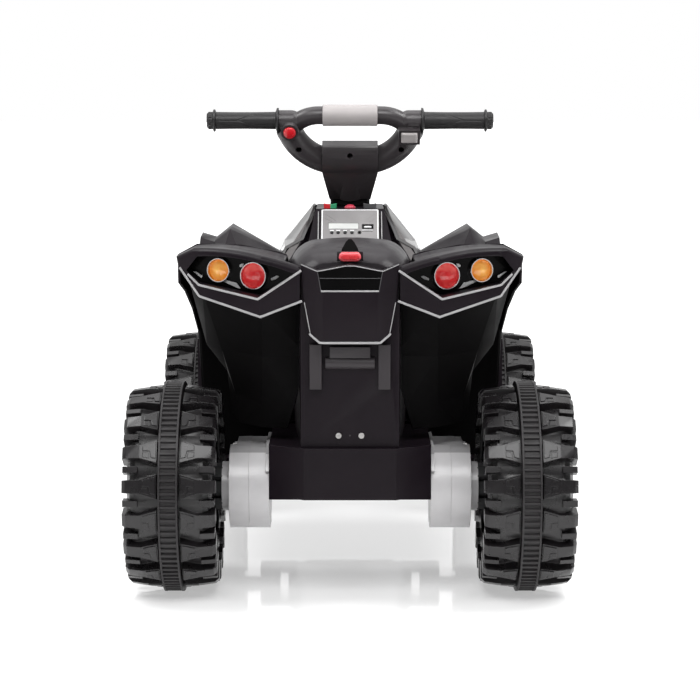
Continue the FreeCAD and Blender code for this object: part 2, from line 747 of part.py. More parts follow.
def rocker(side):
    x = side * ROCKER_X
    half = ROCKER_LONG / 2
    top = DASH_Z + ROCKER_RISE
    pivot_z = DASH_Z - BODY_WALL - 2.0
    outline = [(x - half, top), (x, top - 1.6), (x + half, top), (x + half - 1.5, pivot_z - 4),
               (x - half + 1.5, pivot_z - 4)]
    block = rear_prism(outline, DECK_BUTTON_Y - ROCKER_WIDE / 2, DECK_BUTTON_Y + ROCKER_WIDE / 2)
    pin = rod(V(x, DECK_BUTTON_Y - ROCKER_WIDE / 2 - 2, pivot_z), V(0, 1, 0), 1.6, ROCKER_WIDE + 4)
    return block.fuse(pin)


def start_button():
    base = V(0, DECK_BUTTON_Y, DASH_Z - BODY_WALL - 3)
    stem = rod(base, V(0, 0, 1), START_RADIUS, BODY_WALL + 5)
    dome = Part.makeSphere(START_RADIUS * 1.3, base + V(0, 0, BODY_WALL + 5 - START_RADIUS * 0.83))
    above = box(-20, 20, DECK_BUTTON_Y - 20, DECK_BUTTON_Y + 20, DASH_Z + 2, DASH_Z + 20)
    foot = rod(base - V(0, 0, 4.4), V(0, 0, 1), START_RADIUS + 1.5, 4)
    neck = rod(base - V(0, 0, 4.4), V(0, 0, 1), START_RADIUS, 6)
    return join([stem, dome.common(above), foot, neck])


# Seat

SEAT_ROWS = ((ry(TAIL_Y) + MOVE_GAP, 54, 17), (ry(-58), 72, 29), (ry(-12), 81, 37), (ry(60), 84, 39),
             (ry(140), 78, 30), (fy(-420), 66, 20), (fy(-379), 58, 15))
SEAT_Z = DECK_Z + SEAT_GAP
SEAT_SHOULDER = 0.53
SEAT_FLARE = 0.36


def seat_section(y, half, height):
    shoulder = half * SEAT_SHOULDER
    top = SEAT_Z + height
    drop = top - 2.5
    rise = drop - SEAT_Z

    def p(x, z):
        return V(x, y, z)

    corner = p(half - (half - shoulder) * SEAT_FLARE, SEAT_Z + rise * 0.72)
    mirror_corner = p(-corner.x, corner.z)
    edges = [Part.makeLine(p(-half, SEAT_Z), p(half, SEAT_Z)),
             Part.Arc(p(half, SEAT_Z), corner, p(shoulder, drop)).toShape(),
             Part.Arc(p(shoulder, drop), p(0, top), p(-shoulder, drop)).toShape(),
             Part.Arc(p(-shoulder, drop), mirror_corner, p(-half, SEAT_Z)).toShape()]
    return Part.Wire(edges)


LATCH_HALF = 17.0
LATCH_Z = (SEAT_Z + 16.5, SEAT_Z + 29.0)
LATCH_Y = (ry(-86), ry(-66))
NOTCH_ARCH = ((12.0, -1.0), (9.5, 4.5), (6.0, 10.5), (2.0, 14.5))


def seat():
    pad = Part.makeLoft([seat_section(*row) for row in SEAT_ROWS], True, False)
    pocket = box(-LATCH_HALF - SEAT_GAP, LATCH_HALF + SEAT_GAP, ry(-120), LATCH_Y[1] + 7,
                 LATCH_Z[0] - SEAT_GAP, LATCH_Z[1] + SEAT_GAP)
    arch = both_sides([(x, LATCH_Z[1] + rise) for x, rise in NOTCH_ARCH])
    notch = rear_prism(arch, ry(-120), ry(-36))
    wedge = side_prism([(ry(-120), SEAT_Z - 6), (ry(-52), SEAT_Z + 24), (ry(-26), SEAT_Z + 49),
                        (ry(-120), SEAT_Z + 74)], -30, 30)
    notch = notch.common(wedge)
    ears = []
    for side in (1, -1):
        outer = rod(V(side * 27 - 6, HINGE_Y, HINGE_Z), ALONG_X, 6, 12)
        arm = box(side * 27 - 6, side * 27 + 6, HINGE_Y - 12, HINGE_Y, HINGE_Z - 6, HINGE_Z + 6)
        pin = rod(V(side * 34 - 13, HINGE_Y, HINGE_Z), ALONG_X, HINGE_RADIUS, 26)
        ears += [outer, arm, pin]
    return join([pad.cut(pocket).cut(notch)] + ears)


def seat_latch():
    outline = [(LATCH_Y[0], LATCH_Z[0]), (LATCH_Y[1], LATCH_Z[0]), (LATCH_Y[1], LATCH_Z[1]),
               (LATCH_Y[0] + 5, LATCH_Z[1]), (LATCH_Y[0], LATCH_Z[0] + 5)]
    return side_prism(outline, -LATCH_HALF, LATCH_HALF)


# Tail

PANEL_REAR = ry(TAIL_Y) - PANEL_DEPTH
PANEL_FRONT = ry(TAIL_Y) - 0.1
PANEL_OUTLINE = ((61.0, 411.0), (66.0, 461.0), (43.5, 452.5), (0.0, 461.0))
PANEL_LOWER = ((0.0, 355.0), (40.0, 355.0), (52.0, 367.0))


def tail_panel():
    right = list(PANEL_LOWER[1:]) + list(PANEL_OUTLINE)
    left = [(-x, z) for x, z in reversed(right[:-1])]
    shield = rear_prism(right + left, PANEL_REAR - 5, PANEL_FRONT)
    plan = plan_prism(both_sides([(70, PANEL_FRONT), (70, PANEL_FRONT - 8), (36, PANEL_REAR)]), 300, 500)
    block = shield.common(plan)
    inner_plan = plan_prism(both_sides([(54, PANEL_FRONT + 1), (54, PANEL_FRONT - 5), (34, PANEL_REAR + 4)]),
                            362, 444)
    plate = rear_prism(both_sides([(38.3, 425.6), (40.2, 442.3)]), PANEL_REAR - 2, PANEL_REAR + 1.5)
    return block.cut(inner_plan).cut(plate)


# Rear fenders, right side

WING_TOP = ((63.0, 455.0), (130.0, 474.0), (210.0, 478.0))
WING_REST = ((236.0, 465.0), (233.0, 449.0), (204.0, 412.0), (118.0, 388.0), (61.0, 411.0))
WING_PLAN = ((61.0, -94.0), (119.0, -99.0), (204.0, -48.0), (237.0, -22.0))
POD_TOP = ((72.0, 446.5), (130.0, 464.0), (206.0, 467.0))
POD_REST = ((221.5, 447.0), (203.0, 430.5), (121.0, 416.0))
POD_SLOPE = 0.33
POD_BASE_Y = -66.0
POD_THICK = 4.0


def arched(top, rest, grow, y0, y1):
    """Outline with an arched upper edge, pulled along Y."""
    a, b, c = [V(x, y0, z) for x, z in top]
    points = [c] + [V(x, y0, z) for x, z in rest] + [a]
    edges = [Part.Arc(a, b, c).toShape()]
    for p, q in zip(points, points[1:]):
        edges.append(Part.makeLine(p, q))
    wire = Part.Wire(edges)
    if grow:
        wire = wire.makeOffset2D(grow, 2)
    return Part.Face(wire).extrude(V(0, y1 - y0, 0))


def pod_y(x):
    return ry(POD_BASE_Y + (x - 60.0) * POD_SLOPE)


def behind_pod(shift):
    """Room behind the lamp plate, as far back as the tail."""
    return plan_prism([(40, pod_y(40) + shift), (260, pod_y(260) + shift), (260, ry(-200)), (40, ry(-200))],
                      380, 500)


WING_FRONT = 24.0


def wing_block(inset):
    plan = [(x, ry(y) + inset) for x, y in WING_PLAN]
    room = plan_prism([(40, plan[0][1])] + plan + [(260, plan[-1][1]), (260, ry(WING_FRONT) + inset),
                                                   (40, ry(WING_FRONT) + inset)], 340, 500)
    return arched(WING_TOP, WING_REST, -inset, ry(-140), ry(WING_FRONT) + 2 * inset).common(room)


FOOT_REST = FOOT_TOP - 2.0
SEAT_ROOM = max(half for y, half, height in SEAT_ROWS) + 2.5
FENDER_ROWS = ((WING_FRONT - 10,
                ((68, 455), (98, 465), (150, 475), (209, 476.5), (234, 463.5), (233, 426))),
               (100, ((68, 440), (106, 453), (152, 463), (208, 462), (232, 447), (231, 406))),
               (170, ((70, 422), (110, 425), (154, 429), (204, 425), (227, 411), (226, 374))),
               (208, ((76, 362), (110, 364), (154, 366), (200, 361), (220, 352), (222, 336))),
               (192, ((82, 240), (110, 240), (154, 240), (196, 240), (214, 240), (217, 238))),
               (182, tuple((x, FOOT_REST) for x in (82, 110, 154, 192, 208, 211))))

GUARD_ROWS = (((58, -62, 418), (118, -72, 398), (200, -34, 419), (222, -10, 440)),
              ((58, -42, 332), (120, -32, 330), (176, 2, 334), (198, 18, 340)),
              ((76, -30, 262), (120, -14, 262), (158, 12, 272), (170, 24, 302)),
              ((86, -20, 228), (120, -6, 228), (152, 10, 232), (164, 22, 244)))


def rear_fender():
    wing = wing_block(0)
    edge = [e for e in wing.Edges if is_hood_edge(e)]
    wing = wing.makeFillet(HOOD_ROUND, edge)
    pocket = arched(POD_TOP, POD_REST, 0, ry(-140), ry(60)).common(behind_pod(0))
    bucket = arched(POD_TOP, POD_REST, BUCKET_WALL, ry(-140), ry(60))
    bucket = bucket.common(behind_pod(BUCKET_WALL)).common(wing)
    wing = wing.cut(wing_block(FENDER_WALL))
    top = sheet([[V(x, ry(y), z) for x, z in row] for y, row in FENDER_ROWS], FENDER_WALL)
    guard = sheet([[V(x, ry(y), z) for x, y, z in row] for row in GUARD_ROWS], FENDER_WALL)
    fender = join([wing, bucket, top, guard]).cut(pocket)
    fender = fender.cut(body_solid(SEAT_GAP, TUB_TOP - 20, 1))
    fender = fender.cut(box(0, SEAT_ROOM, ry(-81), ry(150), SEAT_Z - 6, 600))
    fender = fender.cut(box(0, 66.6, ry(-200), ry(TAIL_Y), 300, 600))
    fender = fender.cut(box(0, 300, ry(100), ry(300), 0, FOOT_TOP + SEAT_GAP))
    return biggest(fender)


def biggest(shape):
    return max(shape.Solids, key=lambda solid: solid.Volume)


def is_hood_edge(edge):
    """Upper rear rim of the wing."""
    room = edge.BoundBox
    return room.YMax < ry(WING_FRONT) - 2 and room.ZMin > 440 and room.XLength > 2


AMBER_AT = (176.2, 447.6)
RED_AT = (128.4, 441.4)
AMBER_RADIUS = 14.3
RED_RADIUS = 16.6
RING_WIDTH = 2.6
POD_NORMAL = V(POD_SLOPE, -1, 0).normalize()


def tail_lamp_pod():
    plate = arched(POD_TOP, POD_REST, -SEAT_GAP, ry(-140), ry(60))
    return plate.common(behind_pod(-0.1)).cut(behind_pod(-0.1 - POD_THICK))


def lamp_spot(place):
    x, z = place
    return V(x, pod_y(x) - 0.1 - POD_THICK, z) + POD_NORMAL * 0.1


def lens(place, radius):
    spot = lamp_spot(place)
    stem = rod(spot, POD_NORMAL, radius, 12)
    ball = Part.makeSphere(radius * 1.7, spot + POD_NORMAL * (9.0 - radius * 1.7))
    return stem.common(ball)


def lamp_ring(place, radius):
    spot = lamp_spot(place)
    ring = rod(spot, POD_NORMAL, radius + 0.2 + RING_WIDTH, 7.0)
    ring = ring.cut(rod(spot - POD_NORMAL, POD_NORMAL, radius + 0.2, 10))
    return ring


# Front cowl and fenders

LAMP_X = 46.0
LAMP_Z = 352.0
LAMP_RADIUS = 21.0


def front_cowl():
    outer = cowl_solid(0, 0, 0)
    inner = cowl_solid(-COWL_WALL, -1, -COWL_WALL)
    shell = outer.cut(inner)
    tower = box(-54, 54, fy(-360), fy(-128), 400, DASH_Z + 52)
    rake = side_prism([(fy(-360), 432), (fy(-345), 438), (fy(-258), DASH_Z + 8), (fy(-258), DASH_Z + 52),
                       (fy(-360), DASH_Z + 52)], -130, 130)
    shell = shell.cut(tower).cut(rake)
    shell = shell.cut(body_solid(SEAT_GAP, 200, 1))
    cup = rod(V(LAMP_X, fy(88), LAMP_Z), V(0, 1, 0), LAMP_RADIUS + 2.5, 40).common(cowl_solid(-0.5, 0, -0.5))
    shell = join([shell, cup, mirrored(cup)])
    hole = rod(V(LAMP_X, fy(92), LAMP_Z), V(0, 1, 0), LAMP_RADIUS + SEAT_GAP, 80)
    return biggest(shell.cut(hole).cut(mirrored(hole)))


def headlight():
    start = V(LAMP_X, fy(92) + 0.1, LAMP_Z)
    stem = rod(start, V(0, 1, 0), LAMP_RADIUS, 60)
    ball = Part.makeSphere(LAMP_RADIUS * 1.6, V(LAMP_X, fy(129) - LAMP_RADIUS * 1.6, LAMP_Z))
    return stem.common(ball)


FRONT_FENDER_ROWS = ((-206, (300, 160, 300, 205, 300, 238, 296)),
                     (-172, (392, 165, 402, 212, 397, 244, 386)),
                     (-82, (424, 195, 461, 220, 440, 244, 447)),
                     (15, (413, 195, 464, 222, 442, 247, 449)),
                     (95, (382, 188, 432, 216, 418, 240, 416)),
                     (150, (346, 176, 372, 205, 362, 226, 352)))


def front_fender():
    rows = []
    for y, (inner_z, x1, z1, x2, z2, x3, z3) in FRONT_FENDER_ROWS:
        inner = cowl_side(fy(y), inner_z) - 4
        rows.append([V(inner, fy(y), inner_z), V(x1, fy(y), z1), V(x2, fy(y), z2), V(x3, fy(y), z3)])
    panel = sheet(rows, FENDER_WALL)
    panel = panel.cut(cowl_solid(0.2, -60, 1)).cut(body_solid(SEAT_GAP, 200, 1))
    panel = panel.cut(box(0, 300, fy(-300), fy(-200), 0, RISER_TOP + SEAT_GAP))
    return biggest(panel)


# Chassis

def tub_plan():
    right = [(REAR_BAR_HALF, ry(REAR_BAR_BACK)), (GEARBOX_IN, ry(-58)), (GEARBOX_IN, ry(128)),
             (KEEL_HALF, ry(160)), (KEEL_HALF, fy(-95)), (NOSE_HALF, fy(-70)), (NOSE_HALF, fy(70)),
             (70, fy(92))]
    return both_sides(right)


def tub_hollow():
    w = TUB_WALL
    right = [(GEARBOX_IN - w, ry(-50)), (GEARBOX_IN - w, ry(126)), (KEEL_HALF - w, ry(158)),
             (KEEL_HALF - w, fy(-93)), (NOSE_HALF - w, fy(-68)), (NOSE_HALF - w, fy(67)), (68, fy(87))]
    return both_sides(right)


def rear_slope(lift):
    """Room under the tub's rising tail."""
    return side_prism([(ry(-120), REAR_BAR_BOTTOM + lift), (ry(-86), REAR_BAR_BOTTOM + lift),
                       (ry(8), TUB_BOTTOM + lift), (ry(8), 90), (ry(-120), 90)], -150, 150)


def chassis_tub():
    tub = plan_prism(tub_plan(), TUB_BOTTOM, TUB_TOP).cut(rear_slope(0))
    hollow = plan_prism(tub_hollow(), TUB_BOTTOM + TUB_WALL, TUB_TOP + 1)
    tub = tub.cut(hollow.cut(rear_slope(TUB_WALL)))
    rear_deck = box(-GEARBOX_IN + 1, GEARBOX_IN - 1, ry(-51), ry(127), TUB_TOP - 3.5, TUB_TOP)
    rear_deck = rear_deck.cut(box(-55, 55, ry(-40), ry(130), TUB_TOP - 10, TUB_TOP + 1))
    pieces = [tub, rear_deck]
    foot_front = fy(-210)
    for side in (1, -1):
        plate = box(KEEL_HALF - 1, FOOT_OUT, ry(158), foot_front, FOOT_TOP - FOOT_THICK, FOOT_TOP)
        lip = box(FOOT_OUT - 6, FOOT_OUT, ry(158), foot_front, FOOT_TOP - 24, FOOT_TOP)
        riser = box(KEEL_HALF - 1, FOOT_OUT - 5, foot_front - 6, foot_front, FOOT_TOP - 4, RISER_TOP)
        riser = riser.cut(body_solid(SEAT_GAP, TUB_TOP, 1))
        group = [plate, lip, riser]
        for i in range(7):
            y = ry(226) + i * 24
            group.append(box(112, FOOT_OUT - 14, y, y + 8, FOOT_TOP - 1, FOOT_TOP + 2.5))
        for i in range(3):
            x = 118 + i * 44
            group.append(box(x, x + 6, ry(162), foot_front - 1, FOOT_TOP - 20, FOOT_TOP - 1))
        web = box(NOSE_HALF - 3, 104, fy(-22), fy(22), BOSS_BOTTOM - SEAT_GAP - YOKE_THICK,
                  BOSS_TOP + SEAT_GAP + YOKE_THICK)
        upper = box(NOSE_HALF - 3, KINGPIN_X + 16, fy(-20), fy(20), BOSS_TOP + SEAT_GAP,
                    BOSS_TOP + SEAT_GAP + YOKE_THICK)
        lower = box(NOSE_HALF - 3, KINGPIN_X + 16, fy(-20), fy(20), BOSS_BOTTOM - SEAT_GAP - YOKE_THICK,
                    BOSS_BOTTOM - SEAT_GAP)
        group += [web, upper, lower]
        if side < 0:
            group = [mirrored(shape) for shape in group]
        pieces += group
    bridge_y = STEER_AT.y + (CLAMP_HEIGHT - 220.0) * math.tan(TILT)
    pieces.append(box(1 - NOSE_HALF, NOSE_HALF - 1, bridge_y - 26, bridge_y + 26, 204, 236))
    tub = join(pieces)
    cuts = [steer_bore(COLUMN_RADIUS + RUN_FIT, 190, 250),
            box(-130, -NOSE_HALF + 8, TIE_Y - 12, TIE_Y + 11, TIE_BOTTOM - 4, TIE_BOTTOM + TIE_THICK + 4),
            box(NOSE_HALF - 8, 130, TIE_Y - 12, TIE_Y + 11, TIE_BOTTOM - 4, TIE_BOTTOM + TIE_THICK + 4)]
    for side in (1, -1):
        cuts.append(rod(V(side * KINGPIN_X, FRONT_Y, 90), V(0, 0, 1), KINGPIN_RADIUS + RUN_FIT, 120))
    cuts.append(rod(V(-120, REAR_Y, AXLE_Z), ALONG_X, BORE_RADIUS, 240))
    motor_line = AXLE_AT + MOTOR_AT
    for side in (1, -1):
        start = V(side * (GEARBOX_IN - 12) - 14, motor_line.y, motor_line.z)
        cuts.append(rod(start, ALONG_X, MOTOR_RADIUS + 0.2, 28))
    for cut in cuts:
        tub = tub.cut(cut)
    return biggest(tub)


def front_bumper():
    front = FRONT_OVERHANG
    post = side_prism([(fy(92), 140), (fy(front - 40), 150), (fy(front - 14), 190), (fy(front - 14), 250),
                       (fy(front - 28), 282), (fy(front - 40), 278), (fy(front - 32), 244),
                       (fy(front - 32), 200), (fy(front - 50), 178), (fy(92), 178)], 42, 58)
    bar = rod(V(-92, fy(front - 15), 222), ALONG_X, 15, 184)
    ends = [Part.makeSphere(15, V(x, fy(front - 15), 222)) for x in (-92, 92)]
    top = rod(V(-64, fy(front - 35), 278), ALONG_X, 10, 128)
    return join([bar, top, post, mirrored(post)] + ends)


# Inside pieces

def battery():
    floor = TUB_BOTTOM + TUB_WALL + 0.1
    half = BATTERY_WIDE / 2.0
    case = box(-half, half, ry(BATTERY_BACK), ry(BATTERY_BACK + BATTERY_LONG), floor, floor + BATTERY_TALL)
    tabs = []
    for x in (-22, 22):
        tabs.append(box(x - 3, x + 3, ry(BATTERY_BACK + 8), ry(BATTERY_BACK + 16), floor + BATTERY_TALL - 1,
                        floor + BATTERY_TALL + 6))
    return join([case] + tabs)


def control_box():
    return box(-40, 40, ry(362), ry(450), TUB_BOTTOM + TUB_WALL + 0.1, TUB_BOTTOM + TUB_WALL + 35)


def wiring_loom():
    radius = 3.0
    low = TUB_BOTTOM + TUB_WALL + radius + 0.1
    motor_z = AXLE_Z + MOTOR_AT.z
    motor_x = GEARBOX_IN - MOTOR_LENGTH - 4 - radius - 0.3
    end_y = REAR_Y + MOTOR_AT.y
    tap_y = ry(BATTERY_BACK + BATTERY_LONG / 2.0)
    tap_z = TUB_BOTTOM + 60
    runs = [[V(41 + radius, ry(380), low), V(55, ry(380), low), V(55, end_y, low), V(motor_x, end_y, low),
             V(motor_x, end_y, motor_z)],
            [V(motor_x, end_y, low), V(-motor_x, end_y, low), V(-motor_x, end_y, motor_z)],
            [V(55, tap_y, low), V(55, tap_y, tap_z), V(BATTERY_WIDE / 2.0 + 0.2, tap_y, tap_z)]]
    pieces = []
    for run in runs:
        for a, b in zip(run, run[1:]):
            pieces.append(rod(a, b - a, radius, (b - a).Length))
        pieces += [Part.makeSphere(radius, p) for p in run[1:-1]]
    return join(pieces)


def fasteners():
    pieces = []
    for side in (1, -1):
        nut = moved(hex_nut(WHEEL_X + WEB_OUT + SEAT_GAP), AXLE_AT)
        pieces.append(nut if side > 0 else mirrored(nut))
        spot = V(side * 15.3, ry(TAIL_Y) - 0.05, 228.5)
        head = rod(spot, V(0, -1, 0), 3.9, 2.4)
        slot = box(spot.x - 3, spot.x + 3, spot.y - 3, spot.y - 1.4, spot.z - 0.6, spot.z + 0.6)
        pieces.append(head.cut(slot))
        for degrees in BOSS_ANGLES:
            spot = screw_spot(degrees) + AXLE_AT
            spot.x = side * (SCREW_SEAT_X + 0.05)
            pieces.append(rod(spot, V(side, 0, 0), SCREW_RADIUS, 2.2))
    return Part.makeCompound(pieces)


# Steering pieces

def steering_column():
    shaft = rod(V(0, -CRANK_DOWN, 0), V(0, 1, 0), COLUMN_RADIUS, CRANK_DOWN + 8)
    boss = rod(V(0, -CRANK_DOWN - 6, 0), V(0, 1, 0), 13, 12)
    arm = box(-8, 8, -CRANK_DOWN - 6, -CRANK_DOWN + 6, 0, CRANK_ARM)
    tip = rod(V(0, -CRANK_DOWN - 6, CRANK_ARM), V(0, 1, 0), 8, 12)
    pin = rod(V(0, -CRANK_DOWN - 30, CRANK_ARM), V(0, 1, 0), CRANK_PIN_RADIUS, 30)
    return on_steering(join([shaft, boss, arm, tip, pin]))


def knuckle():
    boss = rod(V(KINGPIN_X, FRONT_Y, BOSS_BOTTOM), V(0, 0, 1), BOSS_RADIUS, BOSS_TOP - BOSS_BOTTOM)
    pin = rod(V(KINGPIN_X, FRONT_Y, BOSS_BOTTOM - YOKE_THICK), V(0, 0, 1), KINGPIN_RADIUS,
              BOSS_TOP - BOSS_BOTTOM + 2 * YOKE_THICK)
    collar = rod(V(KINGPIN_X, FRONT_Y, AXLE_Z), ALONG_X, 13, HUB_END - SEAT_GAP - KINGPIN_X)
    stub = rod(V(KINGPIN_X, FRONT_Y, AXLE_Z), ALONG_X, AXLE_RADIUS, AXLE_END - KINGPIN_X)
    arm = box(KINGPIN_X - 9, KINGPIN_X + 9, FRONT_Y - KNUCKLE_ARM - 14, FRONT_Y,
              TIE_BOTTOM - 12, TIE_BOTTOM - 4)
    half = TIE_PIN_RADIUS + 0.9
    slot = box(KINGPIN_X - half, KINGPIN_X + half, FRONT_Y - KNUCKLE_ARM - 9, FRONT_Y - KNUCKLE_ARM + 4.5,
               TIE_BOTTOM - 20, TIE_BOTTOM)
    body = join([boss, pin, collar, stub, arm]).cut(slot)
    nut = moved(hex_nut(WHEEL_X + WEB_OUT + SEAT_GAP), V(0, FRONT_Y, AXLE_Z))
    return Part.makeCompound([body, nut])


def tie_rod():
    top = TIE_BOTTOM + TIE_THICK
    bar = box(-KINGPIN_X - 10, KINGPIN_X + 10, TIE_Y - 8, TIE_Y + 8, TIE_BOTTOM, top)
    plate = box(-18, 18, TIE_Y - 17, TIE_Y + 21, TIE_BOTTOM, top)
    half = CRANK_PIN_RADIUS + MOVE_GAP
    slot = box(-half, half, TIE_Y - 7, TIE_Y + 11, TIE_BOTTOM - 1, top + 1)
    pieces = [bar, plate]
    for side in (1, -1):
        pieces.append(rod(V(side * KINGPIN_X, TIE_Y, TIE_BOTTOM - 15), V(0, 0, 1), TIE_PIN_RADIUS, 16))
    return join(pieces).cut(slot)


# Handlebar, drawn with X across, Y up the column and Z to the rider

def bend(start, middle, end, radius):
    """Round bar along an arc through three points, with round ends."""
    arc = Part.Arc(V(*start, 0), V(*middle, 0), V(*end, 0))
    centre = arc.toShape().Curve.Center
    first = V(*start, 0) - centre
    last = V(*end, 0) - centre
    sweep = math.degrees(first.getAngle(last))
    if first.cross(last).z < 0:
        sweep = -sweep
    tangent = V(-first.y, first.x, 0)
    disc = Part.Face(Part.Wire(Part.makeCircle(radius, V(*start, 0), tangent)))
    return disc.revolve(centre, V(0, 0, 1), sweep)


def shoulder_point(degrees):
    """Point on the crossbar's bent end, its turn measured from the straight bar."""
    angle = math.radians(degrees)
    return (CROSSBAR_HALF + SHOULDER_BEND * math.sin(angle),
            CROSSBAR_RISE - SHOULDER_BEND * (1 - math.cos(angle)))


def bar_side(shrink):
    """Right arm, crossbar end and grip boss of the handlebar."""
    arm = bend((28, -13), (72, 9), (93, 42), ARM_RADIUS - shrink)
    shoulder = bend(shoulder_point(0), shoulder_point(SHOULDER_TURN / 2), shoulder_point(SHOULDER_TURN),
                    CROSSBAR_RADIUS - shrink)
    knot = Part.makeSphere(ARM_RADIUS + 0.8 - shrink, V(93, 42, 0))
    boss = rod(V(90, GRIP_RISE, 0), ALONG_X, 16 - shrink, GRIP_INNER - 90 - shrink)
    tip = Part.makeSphere(16 - shrink, V(90, GRIP_RISE, 0))
    return [arm, shoulder, knot, boss, tip]


THROTTLE_AT = (91.0, 42.5)
THROTTLE_SIZE = (25.0, 17.0)
HORN_AT = (-92.5, 51.0)
STEM_SLEEVE_RADIUS = 23.0
STEM_LOW = -(CLAMP_RISE - STEM_CLEAR - STEM_SLEEVE_RADIUS * math.sin(TILT)) / math.cos(TILT)


def handlebar_halves():
    outline = [(CLAMP_LOW, -CLAMP_DEPTH), (CLAMP_LOW + 27, -CLAMP_DEPTH), (CLAMP_TOP, CLAMP_LEDGE),
               (CLAMP_TOP, CLAMP_DEPTH - 2), (CLAMP_TOP - 2, CLAMP_DEPTH), (CLAMP_LOW, CLAMP_DEPTH)]
    clamp = side_prism(outline, -CLAMP_HALF, CLAMP_HALF)
    wide = [V(-CLAMP_HALF, CLAMP_LOW, -CLAMP_DEPTH), V(CLAMP_HALF, CLAMP_LOW, -CLAMP_DEPTH),
            V(CLAMP_HALF, CLAMP_LOW, CLAMP_DEPTH), V(-CLAMP_HALF, CLAMP_LOW, CLAMP_DEPTH)]
    narrow = [V(-32, STEM_LOW, -20), V(32, STEM_LOW, -20), V(32, STEM_LOW, 16), V(-32, STEM_LOW, 16)]
    stem = skin([wide, narrow])
    sleeve = rod(V(0, STEM_LOW, 0), V(0, 1, 0), STEM_SLEEVE_RADIUS, CLAMP_LOW + 5 - STEM_LOW)
    crossbar = rod(V(-CROSSBAR_HALF, CROSSBAR_RISE, 0), ALONG_X, CROSSBAR_RADIUS, 2 * CROSSBAR_HALF)
    horn_cup = rod(V(HORN_AT[0], HORN_AT[1], 0), V(0, 0, 1), HORN_RADIUS + 4, 24)
    wide_x, tall_y = THROTTLE_SIZE
    throttle_cup = box(THROTTLE_AT[0] - wide_x / 2 - 4, THROTTLE_AT[0] + wide_x / 2 + 4,
                       THROTTLE_AT[1] - tall_y / 2 - 4, THROTTLE_AT[1] + tall_y / 2 + 4, 0, 24)
    right = bar_side(0)
    stub = rod(V(GRIP_INNER - 12, GRIP_RISE, 0), ALONG_X, BAR_RADIUS, GRIP_OUTER - GRIP_INNER + 4)
    grip_room = rod(V(GRIP_INNER, GRIP_RISE, 0), ALONG_X, FLANGE_GRIP_RADIUS + SEAT_GAP, 30)
    solid = [clamp, stem, sleeve, crossbar, horn_cup, throttle_cup]
    solid += right + [mirrored(shape) for shape in right]
    outer = join(solid).cut(grip_room).cut(mirrored(grip_room))
    outer = join([outer, stub, mirrored(stub)])
    right_in = bar_side(BAR_WALL)
    cavity = [rod(V(-CROSSBAR_HALF, CROSSBAR_RISE, 0), ALONG_X, CROSSBAR_RADIUS - BAR_WALL,
                  2 * CROSSBAR_HALF)]
    cavity += right_in + [mirrored(shape) for shape in right_in]
    keep = join([box(-CLAMP_HALF, CLAMP_HALF, STEM_LOW - 8, CLAMP_TOP + 2, -40, 40),
                 rod(V(GRIP_INNER - 12, GRIP_RISE, 0), ALONG_X, BAR_RADIUS, 40),
                 rod(V(-GRIP_INNER + 12, GRIP_RISE, 0), V(-1, 0, 0), BAR_RADIUS, 40)])
    cuts = [join(cavity).cut(keep),
            rod(V(0, STEM_LOW - 18, 0), V(0, 1, 0), COLUMN_RADIUS, 26.1 - STEM_LOW),
            rod(V(HORN_AT[0], HORN_AT[1], 8), V(0, 0, 1), HORN_RADIUS + SEAT_GAP, 30),
            box(THROTTLE_AT[0] - wide_x / 2 - SEAT_GAP, THROTTLE_AT[0] + wide_x / 2 + SEAT_GAP,
                THROTTLE_AT[1] - tall_y / 2 - SEAT_GAP, THROTTLE_AT[1] + tall_y / 2 + SEAT_GAP, 8, 40)]
    for x, y, z in ((0, CLAMP_HOLE_UP, 14), (79, 18.5, 12), (-79, 18.5, 12)):
        cuts.append(rod(V(x, y, z), V(0, 0, 1), 4.6, 30))
    for cut in cuts:
        outer = outer.cut(cut)
    rear = outer.common(box(-300, 300, -200, 200, 0, 100))
    front = outer.common(box(-300, 300, -200, 200, -100, 0))
    return on_steering(biggest(rear)), on_steering(biggest(front))


def crossbar_pad():
    pad = rod(V(-42, CROSSBAR_RISE, 0), ALONG_X, CROSSBAR_RADIUS + 2.4, 84)
    return on_steering(pad.cut(rod(V(-50, CROSSBAR_RISE, 0), ALONG_X, CROSSBAR_RADIUS + 0.1, 100)))


def grip():
    inner = GRIP_INNER + SEAT_GAP
    rim = FLANGE_GRIP_RADIUS
    profile = [(inner, BAR_RADIUS + 0.1), (inner, rim - 0.5), (inner + 3, rim), (inner + 5, rim - 2.5),
               (inner + 6, GRIP_RADIUS), (GRIP_OUTER - 20, GRIP_RADIUS), (GRIP_OUTER - 18, rim - 2.5),
               (GRIP_OUTER - 15, rim - 2),
               (GRIP_OUTER - 13, GRIP_RADIUS + 1), (GRIP_OUTER - 3, GRIP_RADIUS + 1),
               (GRIP_OUTER, GRIP_RADIUS - 2),
               (GRIP_OUTER, 0), (GRIP_OUTER - 7.5, 0), (GRIP_OUTER - 7.5, BAR_RADIUS + 0.1)]
    return on_steering(moved(turned(profile), V(0, GRIP_RISE, 0)))


def horn_button():
    stem = rod(V(HORN_AT[0], HORN_AT[1], 13), V(0, 0, 1), HORN_RADIUS, 18)
    ball = Part.makeSphere(HORN_RADIUS * 2.2, V(HORN_AT[0], HORN_AT[1], 28.5 - HORN_RADIUS * 2.2))
    return on_steering(stem.common(ball))


